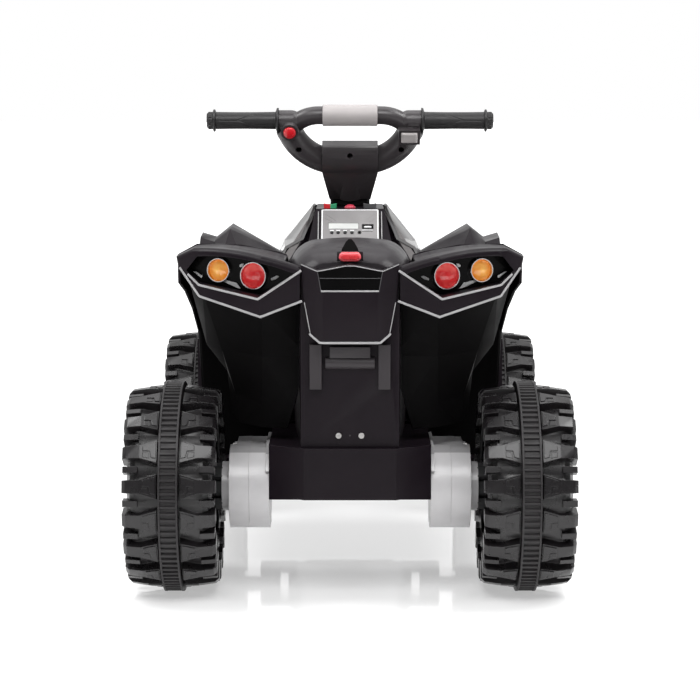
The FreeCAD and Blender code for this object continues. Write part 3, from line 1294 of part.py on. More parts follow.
def throttle_button():
    wide_x, tall_y = THROTTLE_SIZE
    x, y = THROTTLE_AT
    low = [V(x - wide_x / 2, y - tall_y / 2, 13), V(x + wide_x / 2, y - tall_y / 2, 13),
           V(x + wide_x / 2, y + tall_y / 2, 13), V(x - wide_x / 2, y + tall_y / 2, 13)]
    rim = [p + V(0, 0, 13) for p in low]
    middle = V(x, y, 28)
    top = [middle + V((p.x - x) * 0.8, (p.y - y) * 0.8, 0) for p in low]
    return on_steering(skin([low, rim, top]))


# All the pieces

os.makedirs("parts", exist_ok=True)

wheel_shape = wheel()
band_shape = traction_band()
cap_shape = hub_cap()
for end, axle_y in (("rear", REAR_Y), ("front", FRONT_Y)):
    for side_name, side in (("left", -1), ("right", 1)):
        place_name = end + "_" + side_name
        save("wheel_" + place_name, at_wheel(wheel_shape, side, axle_y))
        save("band_" + place_name, at_wheel(band_shape, side, axle_y))
        save("hub_cap_" + place_name, at_wheel(cap_shape, side, axle_y))

case_shape, cover_shape = gearbox_halves()
save("gearbox_cases", Part.makeCompound([case_shape, mirrored(case_shape)]))
save("gearbox_covers", Part.makeCompound([cover_shape, mirrored(cover_shape)]))
save("motors", Part.makeCompound([motor(), mirrored(motor())]))
drive_gears = (("output_gear", output_gear()), ("idler_gear", idler_gear()), ("pinion", pinion()))
for gear_name, gear_shape in drive_gears:
    save(gear_name + "_right", gear_shape)
    save(gear_name + "_left", mirrored(gear_shape))
save("rear_axle", rod(V(-AXLE_END, REAR_Y, AXLE_Z), ALONG_X, AXLE_RADIUS, 2 * AXLE_END))
save("fasteners", fasteners())

save("chassis_tub", chassis_tub())
save("body_shell", body_shell())
save("tail_panel", tail_panel())
fender_shape = rear_fender()
save("rear_fender_right", fender_shape)
save("rear_fender_left", mirrored(fender_shape))
pod_shape = tail_lamp_pod()
save("tail_lamp_pods", Part.makeCompound([pod_shape, mirrored(pod_shape)]))
red_lens = lens(RED_AT, RED_RADIUS)
amber_lens = lens(AMBER_AT, AMBER_RADIUS)
rings = [lamp_ring(RED_AT, RED_RADIUS), lamp_ring(AMBER_AT, AMBER_RADIUS)]
save("tail_lenses_red", Part.makeCompound([red_lens, mirrored(red_lens)]))
save("tail_lenses_amber", Part.makeCompound([amber_lens, mirrored(amber_lens)]))
save("tail_lamp_rings", Part.makeCompound(rings + [mirrored(ring) for ring in rings]))
save("front_cowl", front_cowl())
front_fender_shape = front_fender()
save("front_fenders", Part.makeCompound([front_fender_shape, mirrored(front_fender_shape)]))
save("headlights", Part.makeCompound([headlight(), mirrored(headlight())]))
save("front_bumper", front_bumper())
save("battery", battery())
save("control_box", control_box())
save("wiring_loom", wiring_loom())

save("dash_panel", dash_panel())
save("display_window", display_window())
for i, key_x in enumerate(KEY_X):
    save("music_key_" + str(i + 1), music_key(key_x))
save("power_rocker", rocker(-1))
save("speed_rocker", rocker(1))
save("start_button", start_button())
save("seat", seat())
save("seat_latch", seat_latch())

save("steering_column", steering_column())
save("knuckle_right", knuckle())
save("knuckle_left", mirrored(knuckle()))
save("tie_rod", tie_rod())
rear_half, front_half = handlebar_halves()
save("handlebar_rear_shell", rear_half)
save("handlebar_front_shell", front_half)
save("crossbar_pad", crossbar_pad())
save("handle_grips", Part.makeCompound([grip(), mirrored(grip())]))
save("horn_button", horn_button())
save("throttle_button", throttle_button())
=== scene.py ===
import bmesh
import bpy
import json
import math
import random
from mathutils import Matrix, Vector


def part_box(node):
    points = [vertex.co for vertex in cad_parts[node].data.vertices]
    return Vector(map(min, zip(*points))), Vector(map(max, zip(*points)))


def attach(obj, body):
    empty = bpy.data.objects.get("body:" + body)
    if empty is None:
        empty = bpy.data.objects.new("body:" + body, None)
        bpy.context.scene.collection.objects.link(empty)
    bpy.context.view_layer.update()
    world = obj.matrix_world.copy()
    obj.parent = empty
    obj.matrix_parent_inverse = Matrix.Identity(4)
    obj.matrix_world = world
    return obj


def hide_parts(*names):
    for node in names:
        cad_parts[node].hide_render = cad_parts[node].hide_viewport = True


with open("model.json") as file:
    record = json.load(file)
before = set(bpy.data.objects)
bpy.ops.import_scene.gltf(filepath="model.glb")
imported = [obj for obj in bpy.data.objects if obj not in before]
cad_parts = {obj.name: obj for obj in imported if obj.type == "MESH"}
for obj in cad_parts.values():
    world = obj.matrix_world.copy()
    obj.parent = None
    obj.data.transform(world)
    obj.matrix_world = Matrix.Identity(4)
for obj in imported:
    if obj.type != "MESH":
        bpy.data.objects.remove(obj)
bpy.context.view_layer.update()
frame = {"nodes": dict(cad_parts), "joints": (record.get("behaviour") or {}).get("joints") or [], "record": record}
RECORD = frame["record"]
JOINTS = {joint["name"]: joint for joint in frame["joints"]}
BODY_OF = {node: body for body, nodes in RECORD["behaviour"]["bodies"].items() for node in nodes}
SLOT_OF = {part["node"]: part["material_slot"] for part in RECORD["subparts"]}
MM = 0.001
FULL_TURN = 2.0 * math.pi
ALONG_X = Vector((1, 0, 0))
AHEAD = Vector((0, 1, 0))
BEHIND = Vector((0, -1, 0))
UP = Vector((0, 0, 1))
SIDES = {"right": 1, "left": -1}
ENDS = ("rear", "front")


def span(node, direction):
    """Lowest and highest reach of a CAD node along a direction, in metres."""
    reach = [direction.dot(corner.co) for corner in frame["nodes"][node].data.vertices]
    return min(reach), max(reach)


# Places taken from the frame
REAR_AXLE = Vector(JOINTS["rear_right_spin"]["pos_m"])
STEER_AT = Vector(JOINTS["handlebar_turn"]["pos_m"])
STEER_UP = Vector(JOINTS["handlebar_turn"]["axis"])
STEER_REAR = ALONG_X.cross(STEER_UP)
DASH_OUT = -Vector(JOINTS["music_key_1_press"]["axis"])
DASH_UP = DASH_OUT.cross(ALONG_X)
DASH_TOP = span("dash_panel", DASH_UP)[1]
DASH_FACE = span("dash_panel", DASH_OUT)[1]
PANEL_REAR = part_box("tail_panel")[0][1]
POD_SLANT = 0.33
POD_OUT = Vector((POD_SLANT, -1.0, 0.0)).normalized()
POD_FACE = span("tail_lamp_pods", POD_OUT)[1]

# Plan of the wing's rear face: X, and Y from the rear axle
WING_PLAN = ((61.0, -94.0), (119.0, -99.0), (204.0, -48.0), (237.0, -22.0))
PANEL_FLAT = 36.0
PANEL_SLANT = 0.5265

# Photograph's camera, in metres and degrees
CAMERA_BEHIND = 2.9
CAMERA_HEIGHT = 0.692
CAMERA_PITCH = 7.03
FOCAL_PIXELS = 2125.8
FRAME_PIXELS = 700.0
SENSOR_MM = 36.0


# Faces that details are drawn on: two places in millimetres and a height above the face

def on_steering(x, up, out=0.0):
    return STEER_AT + (ALONG_X * x + STEER_UP * up + STEER_REAR * out) * MM


def on_dash(x, up, out=0.0):
    return ALONG_X * x * MM + DASH_UP * (DASH_TOP + up * MM) + DASH_OUT * (DASH_FACE + out * MM)


def on_pod(x, z, out=0.0):
    y = (POD_FACE + out * MM - POD_OUT.x * x * MM) / POD_OUT.y
    return Vector((x * MM, y, z * MM))


def on_wing(x, z, out=0.0):
    for (x0, y0), (x1, y1) in zip(WING_PLAN, WING_PLAN[1:]):
        if x <= x1:
            break
    back = y0 + (y1 - y0) * (x - x0) / (x1 - x0)
    return Vector((x * MM, REAR_AXLE.y + (back - out) * MM, z * MM))


def on_panel(x, z, out=0.0):
    back = max(0.0, abs(x) - PANEL_FLAT) * PANEL_SLANT
    return Vector((x * MM, PANEL_REAR + (back - out) * MM, z * MM))


def behind_axle(x, z, back):
    return Vector((x * MM, REAR_AXLE.y - back * MM, z * MM))


# Material helpers

PATCH_DETAIL = 4.0
PATCH_START, PATCH_END = 0.35, 0.7
GRAIN_DETAIL = 2.0


def feed(tree, socket, value):
    """Links a socket to another, or sets its value."""
    if isinstance(value, bpy.types.NodeSocket):
        tree.links.new(value, socket)
    else:
        socket.default_value = value


def add_node(tree, kind, **inputs):
    """New node with its inputs fed."""
    made = tree.nodes.new("ShaderNode" + kind)
    for socket, value in inputs.items():
        feed(tree, made.inputs[socket.replace("_", " ")], value)
    return made


class Surface:
    """Node material with one shader."""

    def __init__(self, name, colour, **sockets):
        self.material = bpy.data.materials.new(name)
        self.material.use_nodes = True
        self.tree = self.material.node_tree
        self.shader = self.tree.nodes["Principled BSDF"]
        self.colour = colour
        self.set("Base Color", (*colour, 1.0))
        for socket, value in sockets.items():
            self.set(socket.replace("_", " "), value)
        self.place = self.tree.nodes.new("ShaderNodeTexCoord").outputs["Object"]
        self.bump = None

    def set(self, socket, value):
        feed(self.tree, self.shader.inputs[socket], value)

    def node(self, kind, **inputs):
        return add_node(self.tree, kind, **inputs)

    def noise(self, scale, detail, stretch=None):
        place = self.place
        if stretch:
            place = self.node("Mapping", Vector=place, Scale=stretch).outputs["Vector"]
        return self.node("TexNoise", Vector=place, Scale=scale, Detail=detail).outputs["Fac"]

    def spread(self, value, low, high, start=0.3, end=0.7):
        """Value from start to end, stretched from low to high."""
        made = self.node("MapRange", Value=value, From_Min=start, From_Max=end, To_Min=low, To_Max=high)
        return made.outputs["Result"]

    def mix(self, share, first, second):
        """Colour between two colours."""
        made = self.node("Mix", Factor=share)
        made.data_type = "RGBA"
        colours = [socket for socket in made.inputs if socket.type == "RGBA"]
        for socket, value in zip(colours, (first, second)):
            socket.default_value = (*value, 1.0)
        return [socket for socket in made.outputs if socket.type == "RGBA"][0]

    def mottle(self, other, scale):
        """Base colour wanders towards another colour."""
        share = self.spread(self.noise(scale, PATCH_DETAIL), 0.0, 1.0, PATCH_START, PATCH_END)
        self.set("Base Color", self.mix(share, self.colour, other))
        return self

    def dull(self, low, high, scale):
        """Roughness wanders between two values."""
        self.set("Roughness", self.spread(self.noise(scale, PATCH_DETAIL), low, high))
        return self

    def relief(self, bump):
        """Adds a node to the chain that bends the shader's normal."""
        if self.bump:
            self.tree.links.new(self.bump, bump.inputs["Normal"])
        self.bump = bump.outputs["Normal"]
        self.set("Normal", self.bump)
        return self

    def soft_edges(self, radius):
        """Sharp corners catch the light as moulded ones do."""
        return self.relief(self.node("Bevel", Radius=radius * MM))

    def grain(self, scale, strength, depth, stretch=None):
        """Fine relief in the surface."""
        height = self.noise(scale, GRAIN_DETAIL, stretch)
        return self.relief(self.node("Bump", Height=height, Strength=strength, Distance=depth * MM))

    def painted_glow(self, painted_bright, strength):
        """Colour brightens, and glows, with the painted glow value stored on the mesh, which paints light and
        highlights into the lens.
        """
        share = self.node("Attribute").outputs["Fac"]
        share.node.attribute_name = "painted_glow"
        colour = self.mix(share, self.colour, painted_bright)
        self.set("Base Color", colour)
        self.set("Emission Color", colour)
        self.set("Emission Strength", strength)
        return self


# Materials: patches and grains are scales per metre, edges and depths are in millimetres

EDGE = 0.9
MOULDED = (1400.0, 0.22, 0.15)
BRUSHED_PANEL = (500.0, 0.2, 0.1, (1, 40, 40))
BRUSHED_STEEL = (400.0, 0.25, 0.1, (1, 30, 30))
NYLON_COLOURS = ((0.53, 0.522, 0.53), (0.47, 0.462, 0.47))


def finish(name, colour, other, patch, dull, edge=EDGE, grain=None, **sockets):
    """Colour that wanders to another in patches, a wandering roughness, soft edges and a grain.

    dull holds two roughnesses and a scale; grain a scale, a strength, a depth and any stretch.
    """
    made = Surface(name, colour, **sockets).mottle(other, patch).dull(*dull)
    if edge:
        made.soft_edges(edge)
    if grain:
        made.grain(*grain)
    return made.material


def bright_plastic(name, colour, deep):
    return finish(name, colour, deep, patch=60.0, dull=(0.22, 0.36, 70.0),
                  Coat_Weight=0.3, Coat_Roughness=0.1)


def nylon(name, shade):
    colour, other = [[value * shade for value in colour] for colour in NYLON_COLOURS]
    return finish(name, colour, other, patch=20.0, dull=(0.28, 0.42, 35.0), edge=1.5, grain=(600.0, 0.2, 0.2),
                  Coat_Weight=0.25, Coat_Roughness=0.2)


# Lens whose colour and emission carry a painted glow and painted highlights
def lens(name, colour, painted_bright):
    made = Surface(name, colour, Coat_Weight=0.7, Coat_Roughness=0.03)
    return made.painted_glow(painted_bright, strength=0.32).dull(0.08, 0.2, scale=150.0).material


RED = bright_plastic("red_plastic", (0.72, 0.012, 0.022), (0.60, 0.008, 0.016))
PINK_RED = bright_plastic("pink_red_plastic", (0.55, 0.05, 0.085), (0.48, 0.035, 0.065))
GREEN = bright_plastic("green_plastic", (0.03, 0.34, 0.16), (0.02, 0.27, 0.12))
# Lighter rose for the latch pill's rim: a painted highlight
ROSE_HIGHLIGHT = bright_plastic("rose_painted_highlight", (0.80, 0.10, 0.12), (0.72, 0.075, 0.095))
BLACK = finish("moulded_black", (0.0080, 0.0054, 0.0078), (0.0110, 0.0078, 0.0105), patch=9.0,
               dull=(0.3, 0.44, 30.0), grain=MOULDED, Specular_IOR_Level=0.13)
# Painted shade: a darker black for faces under the fenders and for the boss under the stem
SHADE_BLACK = finish("painted_shade_black", (0.0022, 0.0020, 0.0022), (0.0032, 0.0029, 0.0031), patch=9.0,
               dull=(0.5, 0.62, 30.0), grain=MOULDED, Specular_IOR_Level=0.05)
# Painted highlight: a lighter black for the rails that stand out from the tail column, also used for the dimple
# between the tail screws
RAIL_HIGHLIGHT = finish("painted_highlight_black", (0.030, 0.026, 0.029), (0.038, 0.033, 0.036), patch=20.0,
              dull=(0.36, 0.5, 40.0), grain=MOULDED, Specular_IOR_Level=0.3)
GLOSS = finish("gloss_black", (0.0030, 0.0026, 0.0028), (0.0042, 0.0038, 0.0040), patch=14.0,
               dull=(0.14, 0.26, 22.0), Specular_IOR_Level=0.12)
COWL = finish("cowl_black", (0.0095, 0.0075, 0.0080), (0.0125, 0.0100, 0.0106), patch=9.0,
              dull=(0.29, 0.33, 30.0), grain=(1400.0, 0.12, 0.1),
              Specular_IOR_Level=0.4, Coat_Weight=1.0, Coat_Roughness=0.14)
# Deepest black: the plate's own black and dark seams, and painted shade in the latch notch, the grille, the jack
# and the screw wells
BLACK_AND_SHADE = finish("deep_black_and_painted_shade", (0.0018, 0.0017, 0.0018), (0.0027, 0.0026, 0.0027), patch=40.0,
              dull=(0.5, 0.7, 40.0), edge=None, Specular_IOR_Level=0.04)
WHEEL = finish("wheel_plastic", (0.0088, 0.0076, 0.0085), (0.0108, 0.0094, 0.0104), patch=16.0,
               dull=(0.26, 0.30, 45.0), edge=1.2, grain=(900.0, 0.3, 0.2), Specular_IOR_Level=0.5)
BAND = finish("band_rubber", (0.0175, 0.0158, 0.0168), (0.026, 0.0235, 0.025), patch=24.0,
              dull=(0.4, 0.56, 60.0), edge=0.5, grain=(1200.0, 0.4, 0.2), Specular_IOR_Level=0.34)
SEAT = finish("seat_plastic", (0.0195, 0.0165, 0.0195), (0.0235, 0.0200, 0.0230), patch=12.0,
              dull=(0.45, 0.56, 40.0), grain=(700.0, 0.4, 0.3),
              Specular_IOR_Level=0.14, Coat_Weight=0.2, Coat_Roughness=0.2)
GRIP = finish("grip_rubber", (0.011, 0.0105, 0.011), (0.017, 0.016, 0.017), patch=30.0,
              dull=(0.36, 0.52, 60.0), edge=0.5, grain=(1800.0, 0.4, 0.2), Specular_IOR_Level=0.42)
BAR = finish("bar_plastic", (0.033, 0.0285, 0.0308), (0.041, 0.0355, 0.0383), patch=12.0,
             dull=(0.29, 0.41, 30.0), grain=(1300.0, 0.25, 0.15), Specular_IOR_Level=0.55)
SILVER = finish("silver_paint", (0.36, 0.355, 0.36), (0.43, 0.425, 0.43), patch=60.0,
                dull=(0.3, 0.44, 80.0), edge=None, grain=(3000.0, 0.1, 0.1), Metallic=0.3)
PANEL = finish("silver_panel", (0.225, 0.217, 0.218), (0.285, 0.275, 0.276), patch=18.0,
               dull=(0.3, 0.44, 90.0), grain=BRUSHED_PANEL, Metallic=0.5)
# Painted highlight: a lighter satin grey for the lips of the cowl's cheeks
LIP_HIGHLIGHT = finish("painted_highlight_lip", (0.085, 0.078, 0.078), (0.105, 0.097, 0.097), patch=24.0,
             dull=(0.3, 0.42, 40.0), grain=(1300.0, 0.2, 0.15), Specular_IOR_Level=0.5)
WHITE = finish("white_trim", (0.78, 0.78, 0.78), (0.70, 0.70, 0.71), patch=40.0,
               dull=(0.3, 0.42, 60.0), edge=None)
GREY = finish("grey_plastic", (0.41, 0.382, 0.380), (0.355, 0.332, 0.330), patch=25.0,
              dull=(0.45, 0.6, 50.0), grain=(1500.0, 0.3, 0.2))
SLATE = finish("slate_plastic", (0.055, 0.055, 0.058), (0.07, 0.07, 0.073), patch=25.0,
               dull=(0.4, 0.55, 50.0), grain=(1500.0, 0.3, 0.2))
CLEAR = finish("clear_lens", (0.86, 0.88, 0.90), (0.80, 0.83, 0.86), patch=30.0,
               dull=(0.03, 0.08, 60.0), edge=None, Transmission_Weight=0.85, IOR=1.45)
GLASS = finish("display_glass", (0.50, 0.51, 0.50), (0.57, 0.58, 0.56), patch=50.0,
               dull=(0.24, 0.36, 60.0), edge=None, Coat_Weight=0.2, Coat_Roughness=0.1)
CHROME = finish("chrome", (0.80, 0.79, 0.79), (0.72, 0.71, 0.72), patch=50.0,
                dull=(0.1, 0.2, 60.0), edge=None, Metallic=1.0)
STEEL = finish("steel", (0.46, 0.45, 0.44), (0.38, 0.37, 0.36), patch=40.0,
               dull=(0.25, 0.42, 80.0), edge=0.4, grain=BRUSHED_STEEL, Metallic=1.0)
DARK_STEEL = finish("dark_steel", (0.02, 0.02, 0.021), (0.03, 0.03, 0.031), patch=25.0,
                    dull=(0.34, 0.5, 50.0), edge=0.6, grain=(900.0, 0.3, 0.2), Metallic=0.4)
# Painted shade: a dimmed copy of the nylon for the gearboxes' upper lobes under the fenders
SHADED_NYLON = nylon("painted_shade_nylon", shade=0.56)
LOOKS = {
    "black_plastic": BLACK, "wheel_plastic": WHEEL, "band_rubber": BAND, "gloss_black": GLOSS,
    "seat_plastic": SEAT, "grip_rubber": GRIP, "wire": GRIP, "grey_plastic": GREY, "silver_panel": PANEL,
    "red_plastic": RED, "green_red_plastic": RED, "clear_lens": CLEAR, "display_glass": GLASS,
    "bright_ring": CHROME, "steel": STEEL, "dark_steel": DARK_STEEL, "battery_plastic": DARK_STEEL,
    "nylon": nylon("nylon", shade=1.0),
    "red_lens": lens("red_lens", (0.66, 0.010, 0.016), (0.95, 0.17, 0.15)),
    "amber_lens": lens("amber_lens", (0.80, 0.19, 0.004), (0.98, 0.56, 0.14)),
}


# Mesh helpers

SHARP = math.radians(32.0)
FLAT = math.radians(0.5)
WELD_NEW = 0.002 * MM
WELD_COPY = 0.01 * MM
MITRE_LEAST = 0.5


def piece_of(name, mesh, material, body):
    """New object from a bmesh, riding on a body."""
    bmesh.ops.remove_doubles(mesh, verts=mesh.verts, dist=WELD_NEW)
    bmesh.ops.recalc_face_normals(mesh, faces=mesh.faces)
    data = bpy.data.meshes.new(name)
    smoothed(mesh, data)
    data.materials.append(material)
    piece = bpy.data.objects.new(name, data)
    bpy.context.scene.collection.objects.link(piece)
    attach(piece, body)
    return piece


def smoothed(mesh, data):
    """Writes a bmesh to mesh data, smooth but for its sharp edges."""
    for face in mesh.faces:
        face.smooth = True
    mesh.to_mesh(data)
    mesh.free()
    data.set_sharp_from_angle(angle=SHARP)


def rounded(piece, width, angle=30.0, segments=2, kept=None):
    """Rounds the edges sharper than an angle, except those a test keeps sharp."""
    bevel = piece.modifiers.new("rounded", "BEVEL")
    bevel.width = width * MM
    bevel.segments = segments
    bevel.limit_method = "ANGLE"
    bevel.angle_limit = math.radians(angle)
    if kept:
        weigh_edges(piece.data, math.radians(angle), kept)
        bevel.limit_method = "WEIGHT"
    bevel.harden_normals = True
    bevel.use_clamp_overlap = True
    return piece


def weigh_edges(data, angle, kept):
    """Marks the edges to round."""
    mesh = opened(data)
    weight = mesh.edges.layers.float.new("bevel_weight_edge")
    for edge in mesh.edges:
        sharp = edge.is_manifold and edge.calc_face_angle(0.0) > angle
        edge[weight] = 1.0 if sharp and not kept(edge) else 0.0
    mesh.to_mesh(data)
    mesh.free()


def trim(name, mesh, material, edge=0.0):
    """Piece fixed to the chassis, with rounded edges where a width is given."""
    piece = piece_of(name, mesh, material, "chassis")
    return rounded(piece, edge) if edge else piece


def opened(data):
    """Mesh data as a bmesh."""
    mesh = bmesh.new()
    mesh.from_mesh(data)
    return mesh


def copied(node):
    """Mesh of a CAD node with whole flat faces."""
    mesh = opened(frame["nodes"][node].data)
    bmesh.ops.remove_doubles(mesh, verts=mesh.verts, dist=WELD_COPY)
    bmesh.ops.dissolve_limit(mesh, angle_limit=FLAT, verts=mesh.verts, edges=mesh.edges)
    return mesh


def dressed(node, width, angle=30.0, segments=2, material=None, kept=None):
    """Copy of a CAD node with rounded edges, which stands for the node."""
    slot = SLOT_OF[node]
    piece = piece_of(node + "_skin", copied(node), material or LOOKS[slot], BODY_OF[node])
    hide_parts(node)
    return rounded(piece, width, angle, segments, kept)


def loft(mesh, rings, loop=False):
    """Skin through closed rings of points, capped or joined end to end."""
    rows = [[mesh.verts.new(point) for point in ring] for ring in rings]
    count = len(rows[0])
    if loop:
        rows.append(rows[0])
    for low, high in zip(rows, rows[1:]):
        for i in range(count):
            j = (i + 1) % count
            mesh.faces.new((low[i], low[j], high[j], high[i]))
    if not loop:
        mesh.faces.new(rows[0])
        mesh.faces.new(rows[-1])


def slab(mesh, outline, on, low, high):
    """Flat plate on a face, from one height to another."""
    loft(mesh, [[on(u, v, low) for u, v in outline], [on(u, v, high) for u, v in outline]])


def strip(mesh, path, on, width, low, high):
    """Raised line of even width along a path on a face."""
    points = [Vector(point) for point in path]
    rings = []
    for i, point in enumerate(points):
        before = (point - points[i - 1]).normalized() if i else None
        after = (points[i + 1] - point).normalized() if i + 1 < len(points) else before
        before = before or after
        along = (before + after).normalized()
        across = Vector((-along.y, along.x))
        reach = width / 2.0 / max(MITRE_LEAST, along.dot(after))
        one, other = point + across * reach, point - across * reach
        rings.append([on(*one, low), on(*one, high), on(*other, high), on(*other, low)])
    loft(mesh, rings)


def turned(mesh, profile, centre, axis, steps, loop=False):
    """Profile of radius and height in millimetres, turned about an axis."""
    across = axis.orthogonal().normalized()
    other = axis.cross(across).normalized()
    rings = []
    for radius, height in profile:
        ring = []
        for i in range(steps):
            angle = FULL_TURN * i / steps
            spoke = across * math.cos(angle) + other * math.sin(angle)
            ring.append(centre + axis * height * MM + spoke * radius * MM)
        rings.append(ring)
    loft(mesh, rings, loop)


def everything(mesh):
    return mesh.verts[:] + mesh.edges[:] + mesh.faces[:]


def both_sides(mesh):
    """Adds the mirror image of a right-hand mesh."""
    for item in bmesh.ops.duplicate(mesh, geom=everything(mesh))["geom"]:
        if isinstance(item, bmesh.types.BMVert):
            item.co.x = -item.co.x
    return mesh


def mirrored(half):
    """Outline or path from its half on one side."""
    return [*half, *((-x, v) for x, v in reversed(half))]


def rectangle(x0, v0, x1, v1):
    return (x0, v0), (x1, v0), (x1, v1), (x0, v1)


def grown(box, by_x, by_v):
    x0, v0, x1, v1 = box
    return x0 - by_x, v0 - by_v, x1 + by_x, v1 + by_v


def frame_bars(x0, v0, x1, v1, wide):
    """Frame round a window, as four flat bars."""
    return (rectangle(x0, v0, x1, v0 + wide), rectangle(x0, v1 - wide, x1, v1),
            rectangle(x0, v0 + wide, x0 + wide, v1 - wide), rectangle(x1 - wide, v0 + wide, x1, v1 - wide))


# Finish of the CAD nodes

GEARBOX_SEAM = 138.0
SEAM_NEAR = 0.2
LOBE_LOW = 196.0
DOGS_INNER = 176.2
ARCH_SHADE_BELOW = 412.0
ARCH_DOWN, ARCH_REAR = -0.25, -0.15
COLUMN_REAR = -410.0
RAIL_PROUD = 0.5
CLAMP_HALF = 56.0
CLAMP_LOW, CLAMP_HIGH = -21.0, 22.0
CLAMP_BULGE = 5.0
CLAMP_STEPS = 10
CLAMP_FACING = 0.995
CLAMP_EVEN = 0.1


def cut_level(piece, z):
    """Splits a piece's faces along a level line."""
    mesh = opened(piece.data)
    bmesh.ops.bisect_plane(mesh, geom=everything(mesh), plane_co=(0, 0, z * MM), plane_no=UP)
    mesh.to_mesh(piece.data)
    mesh.free()
    return piece


def second_look(piece, material, chosen):
    """Gives a piece's chosen faces another material."""
    piece.data.materials.append(material)
    for face in piece.data.polygons:
        if chosen(face.center / MM, face.normal):
            face.material_index = 1


def shaded_under_fender(centre, normal):
    """Faces under a fender, facing down or low and rearwards, which get painted shade."""
    return normal.z < ARCH_DOWN or (normal.y < ARCH_REAR and centre.z < ARCH_SHADE_BELOW)


def on_rail(centre, normal):
    """Faces of the rails on the tail column, which get a lighter black as a painted highlight."""
    return centre.y < COLUMN_REAR - RAIL_PROUD


def on_seam(edge):
    """Edges where a gearbox's case and cover meet."""
    return all(abs(abs(corner.co.x) / MM - GEARBOX_SEAM) < SEAM_NEAR for corner in edge.verts)


def on_lobe(centre, normal):
    """Faces of a gearbox's upper lobe, under the fender, which get a dimmed copy of the nylon as painted shade."""
    return centre.z > LOBE_LOW


def on_dogs(centre, normal):
    """Faces of an output gear's drive dogs."""
    return abs(centre.x) > DOGS_INNER


def barrel(piece):
    """Bulges the rear face of the handlebar's clamp into a barrel."""
    mesh = opened(piece.data)

    def clamp_faces():
        found = [face for face in mesh.faces if face.normal.dot(STEER_REAR) > CLAMP_FACING
                 and abs(face.calc_center_median().x) < CLAMP_HALF * MM]
        main = max(found, key=lambda face: face.calc_area())
        plane = main.verts[0].co.dot(STEER_REAR)
        return [face for face in found if abs(face.verts[0].co.dot(STEER_REAR) - plane) < CLAMP_EVEN * MM]

    for step in range(CLAMP_STEPS):
        faces = clamp_faces()
        edges = {edge for face in faces for edge in face.edges}
        corners = {corner for face in faces for corner in face.verts}
        level = CLAMP_LOW + (CLAMP_HIGH - CLAMP_LOW) * step / CLAMP_STEPS
        bmesh.ops.bisect_plane(mesh, geom=faces + list(edges) + list(corners),
                               plane_co=on_steering(0.0, level), plane_no=STEER_UP)
    middle, half = (CLAMP_HIGH + CLAMP_LOW) / 2.0, (CLAMP_HIGH - CLAMP_LOW) / 2.0
    for corner in {corner for face in clamp_faces() for corner in face.verts}:
        rise = (corner.co - STEER_AT).dot(STEER_UP) / MM
        share = (rise - middle) / half
        if abs(share) < 1.0:
            corner.co += STEER_REAR * CLAMP_BULGE * (1.0 - share * share) * MM
    smoothed(mesh, piece.data)


for name, node in frame["nodes"].items():
    node.data.materials.clear()
    node.data.materials.append(LOOKS[SLOT_OF[name]])
dressed("tail_panel", width=1.4, angle=8.0)
second_look(dressed("front_fenders", width=1.2, angle=26.0), SHADE_BLACK, shaded_under_fender)
dressed("front_cowl", width=1.2, angle=26.0, material=COWL)
second_look(dressed("body_shell", width=1.4, angle=8.0), RAIL_HIGHLIGHT, on_rail)
for side in SIDES:
    second_look(dressed(f"rear_fender_{side}", width=1.4, angle=8.0), SHADE_BLACK, shaded_under_fender)
dressed("chassis_tub", width=1.4)
dressed("front_bumper", width=1.0, angle=40.0)
for name in ("gearbox_cases", "gearbox_covers"):
    piece = dressed(name, width=2.2, segments=3, kept=on_seam)
    second_look(cut_level(piece, LOBE_LOW), SHADED_NYLON, on_lobe)
for side in SIDES:
    second_look(dressed(f"output_gear_{side}", width=0.5, angle=40.0), DARK_STEEL, on_dogs)
dressed("crossbar_pad", width=1.5, angle=40.0, segments=3)
dressed("throttle_button", width=1.2, angle=20.0, segments=3)
dressed("speed_rocker", width=1.2, segments=3, material=SLATE)
dressed("start_button", width=0.8, segments=3, material=PINK_RED)
dressed("horn_button", width=1.0, segments=3)
dressed("seat", width=1.2, angle=40.0)
barrel(dressed("handlebar_rear_shell", width=1.4, material=BAR))
dressed("handlebar_front_shell", width=1.4, material=BAR)
for end in ENDS:
    for side in SIDES:
        dressed(f"wheel_{end}_{side}", width=1.1, angle=24.0)
        dressed(f"hub_cap_{end}_{side}", width=1.0)


# Tail lines: silver edging of the lamp wings, the tail panel and the plate, and a light chevron along the panel's
# top edge that is a painted highlight

LINE_WIDE = 3.0
PLATE_LINE_WIDE = 2.2
CHEVRON_WIDE = 1.2
HAIR_WIDE = 0.9
WING_LINES = (((219.5, 442.5), (204.0, 429.0), (202.0, 428.3), (122.5, 414.0), (119.0, 416.2), (64.5, 452.0)),
              ((231.0, 450.5), (204.0, 414.5), (202.5, 413.3), (119.0, 390.6), (63.5, 411.5)))
PANEL_FOOT = mirrored(((54.0, 368.5), (52.5, 366.5), (40.5, 356.8)))
PANEL_SIDE = ((60.6, 409.5), (53.0, 369.5))
CHEVRON_HIGHLIGHT = mirrored(((65.2, 459.8), (43.5, 451.6), (6.0, 459.0)))
PLATE_FOOT = ((38.3, 425.6), (-38.3, 425.6))
PLATE_SIDE = ((43.0, 451.0), (38.6, 427.0))
PLATE_HEAD = ((40.2, 442.6), (-40.2, 442.6))
PLATE_EAR = ((PANEL_FLAT, 443.0), (40.1, 443.0), (42.4, 450.6), (PANEL_FLAT, 451.8))
PLATE_ROOF = ((-PANEL_FLAT, 443.0), (PANEL_FLAT, 443.0), (PANEL_FLAT, 451.8), (0.0, 458.4),
              (-PANEL_FLAT, 451.8))
PLATE_FACE = ((-38.2, 426.0), (38.2, 426.0), (40.0, 442.0), (-40.0, 442.0))
PLATE_DEEP = 1.5


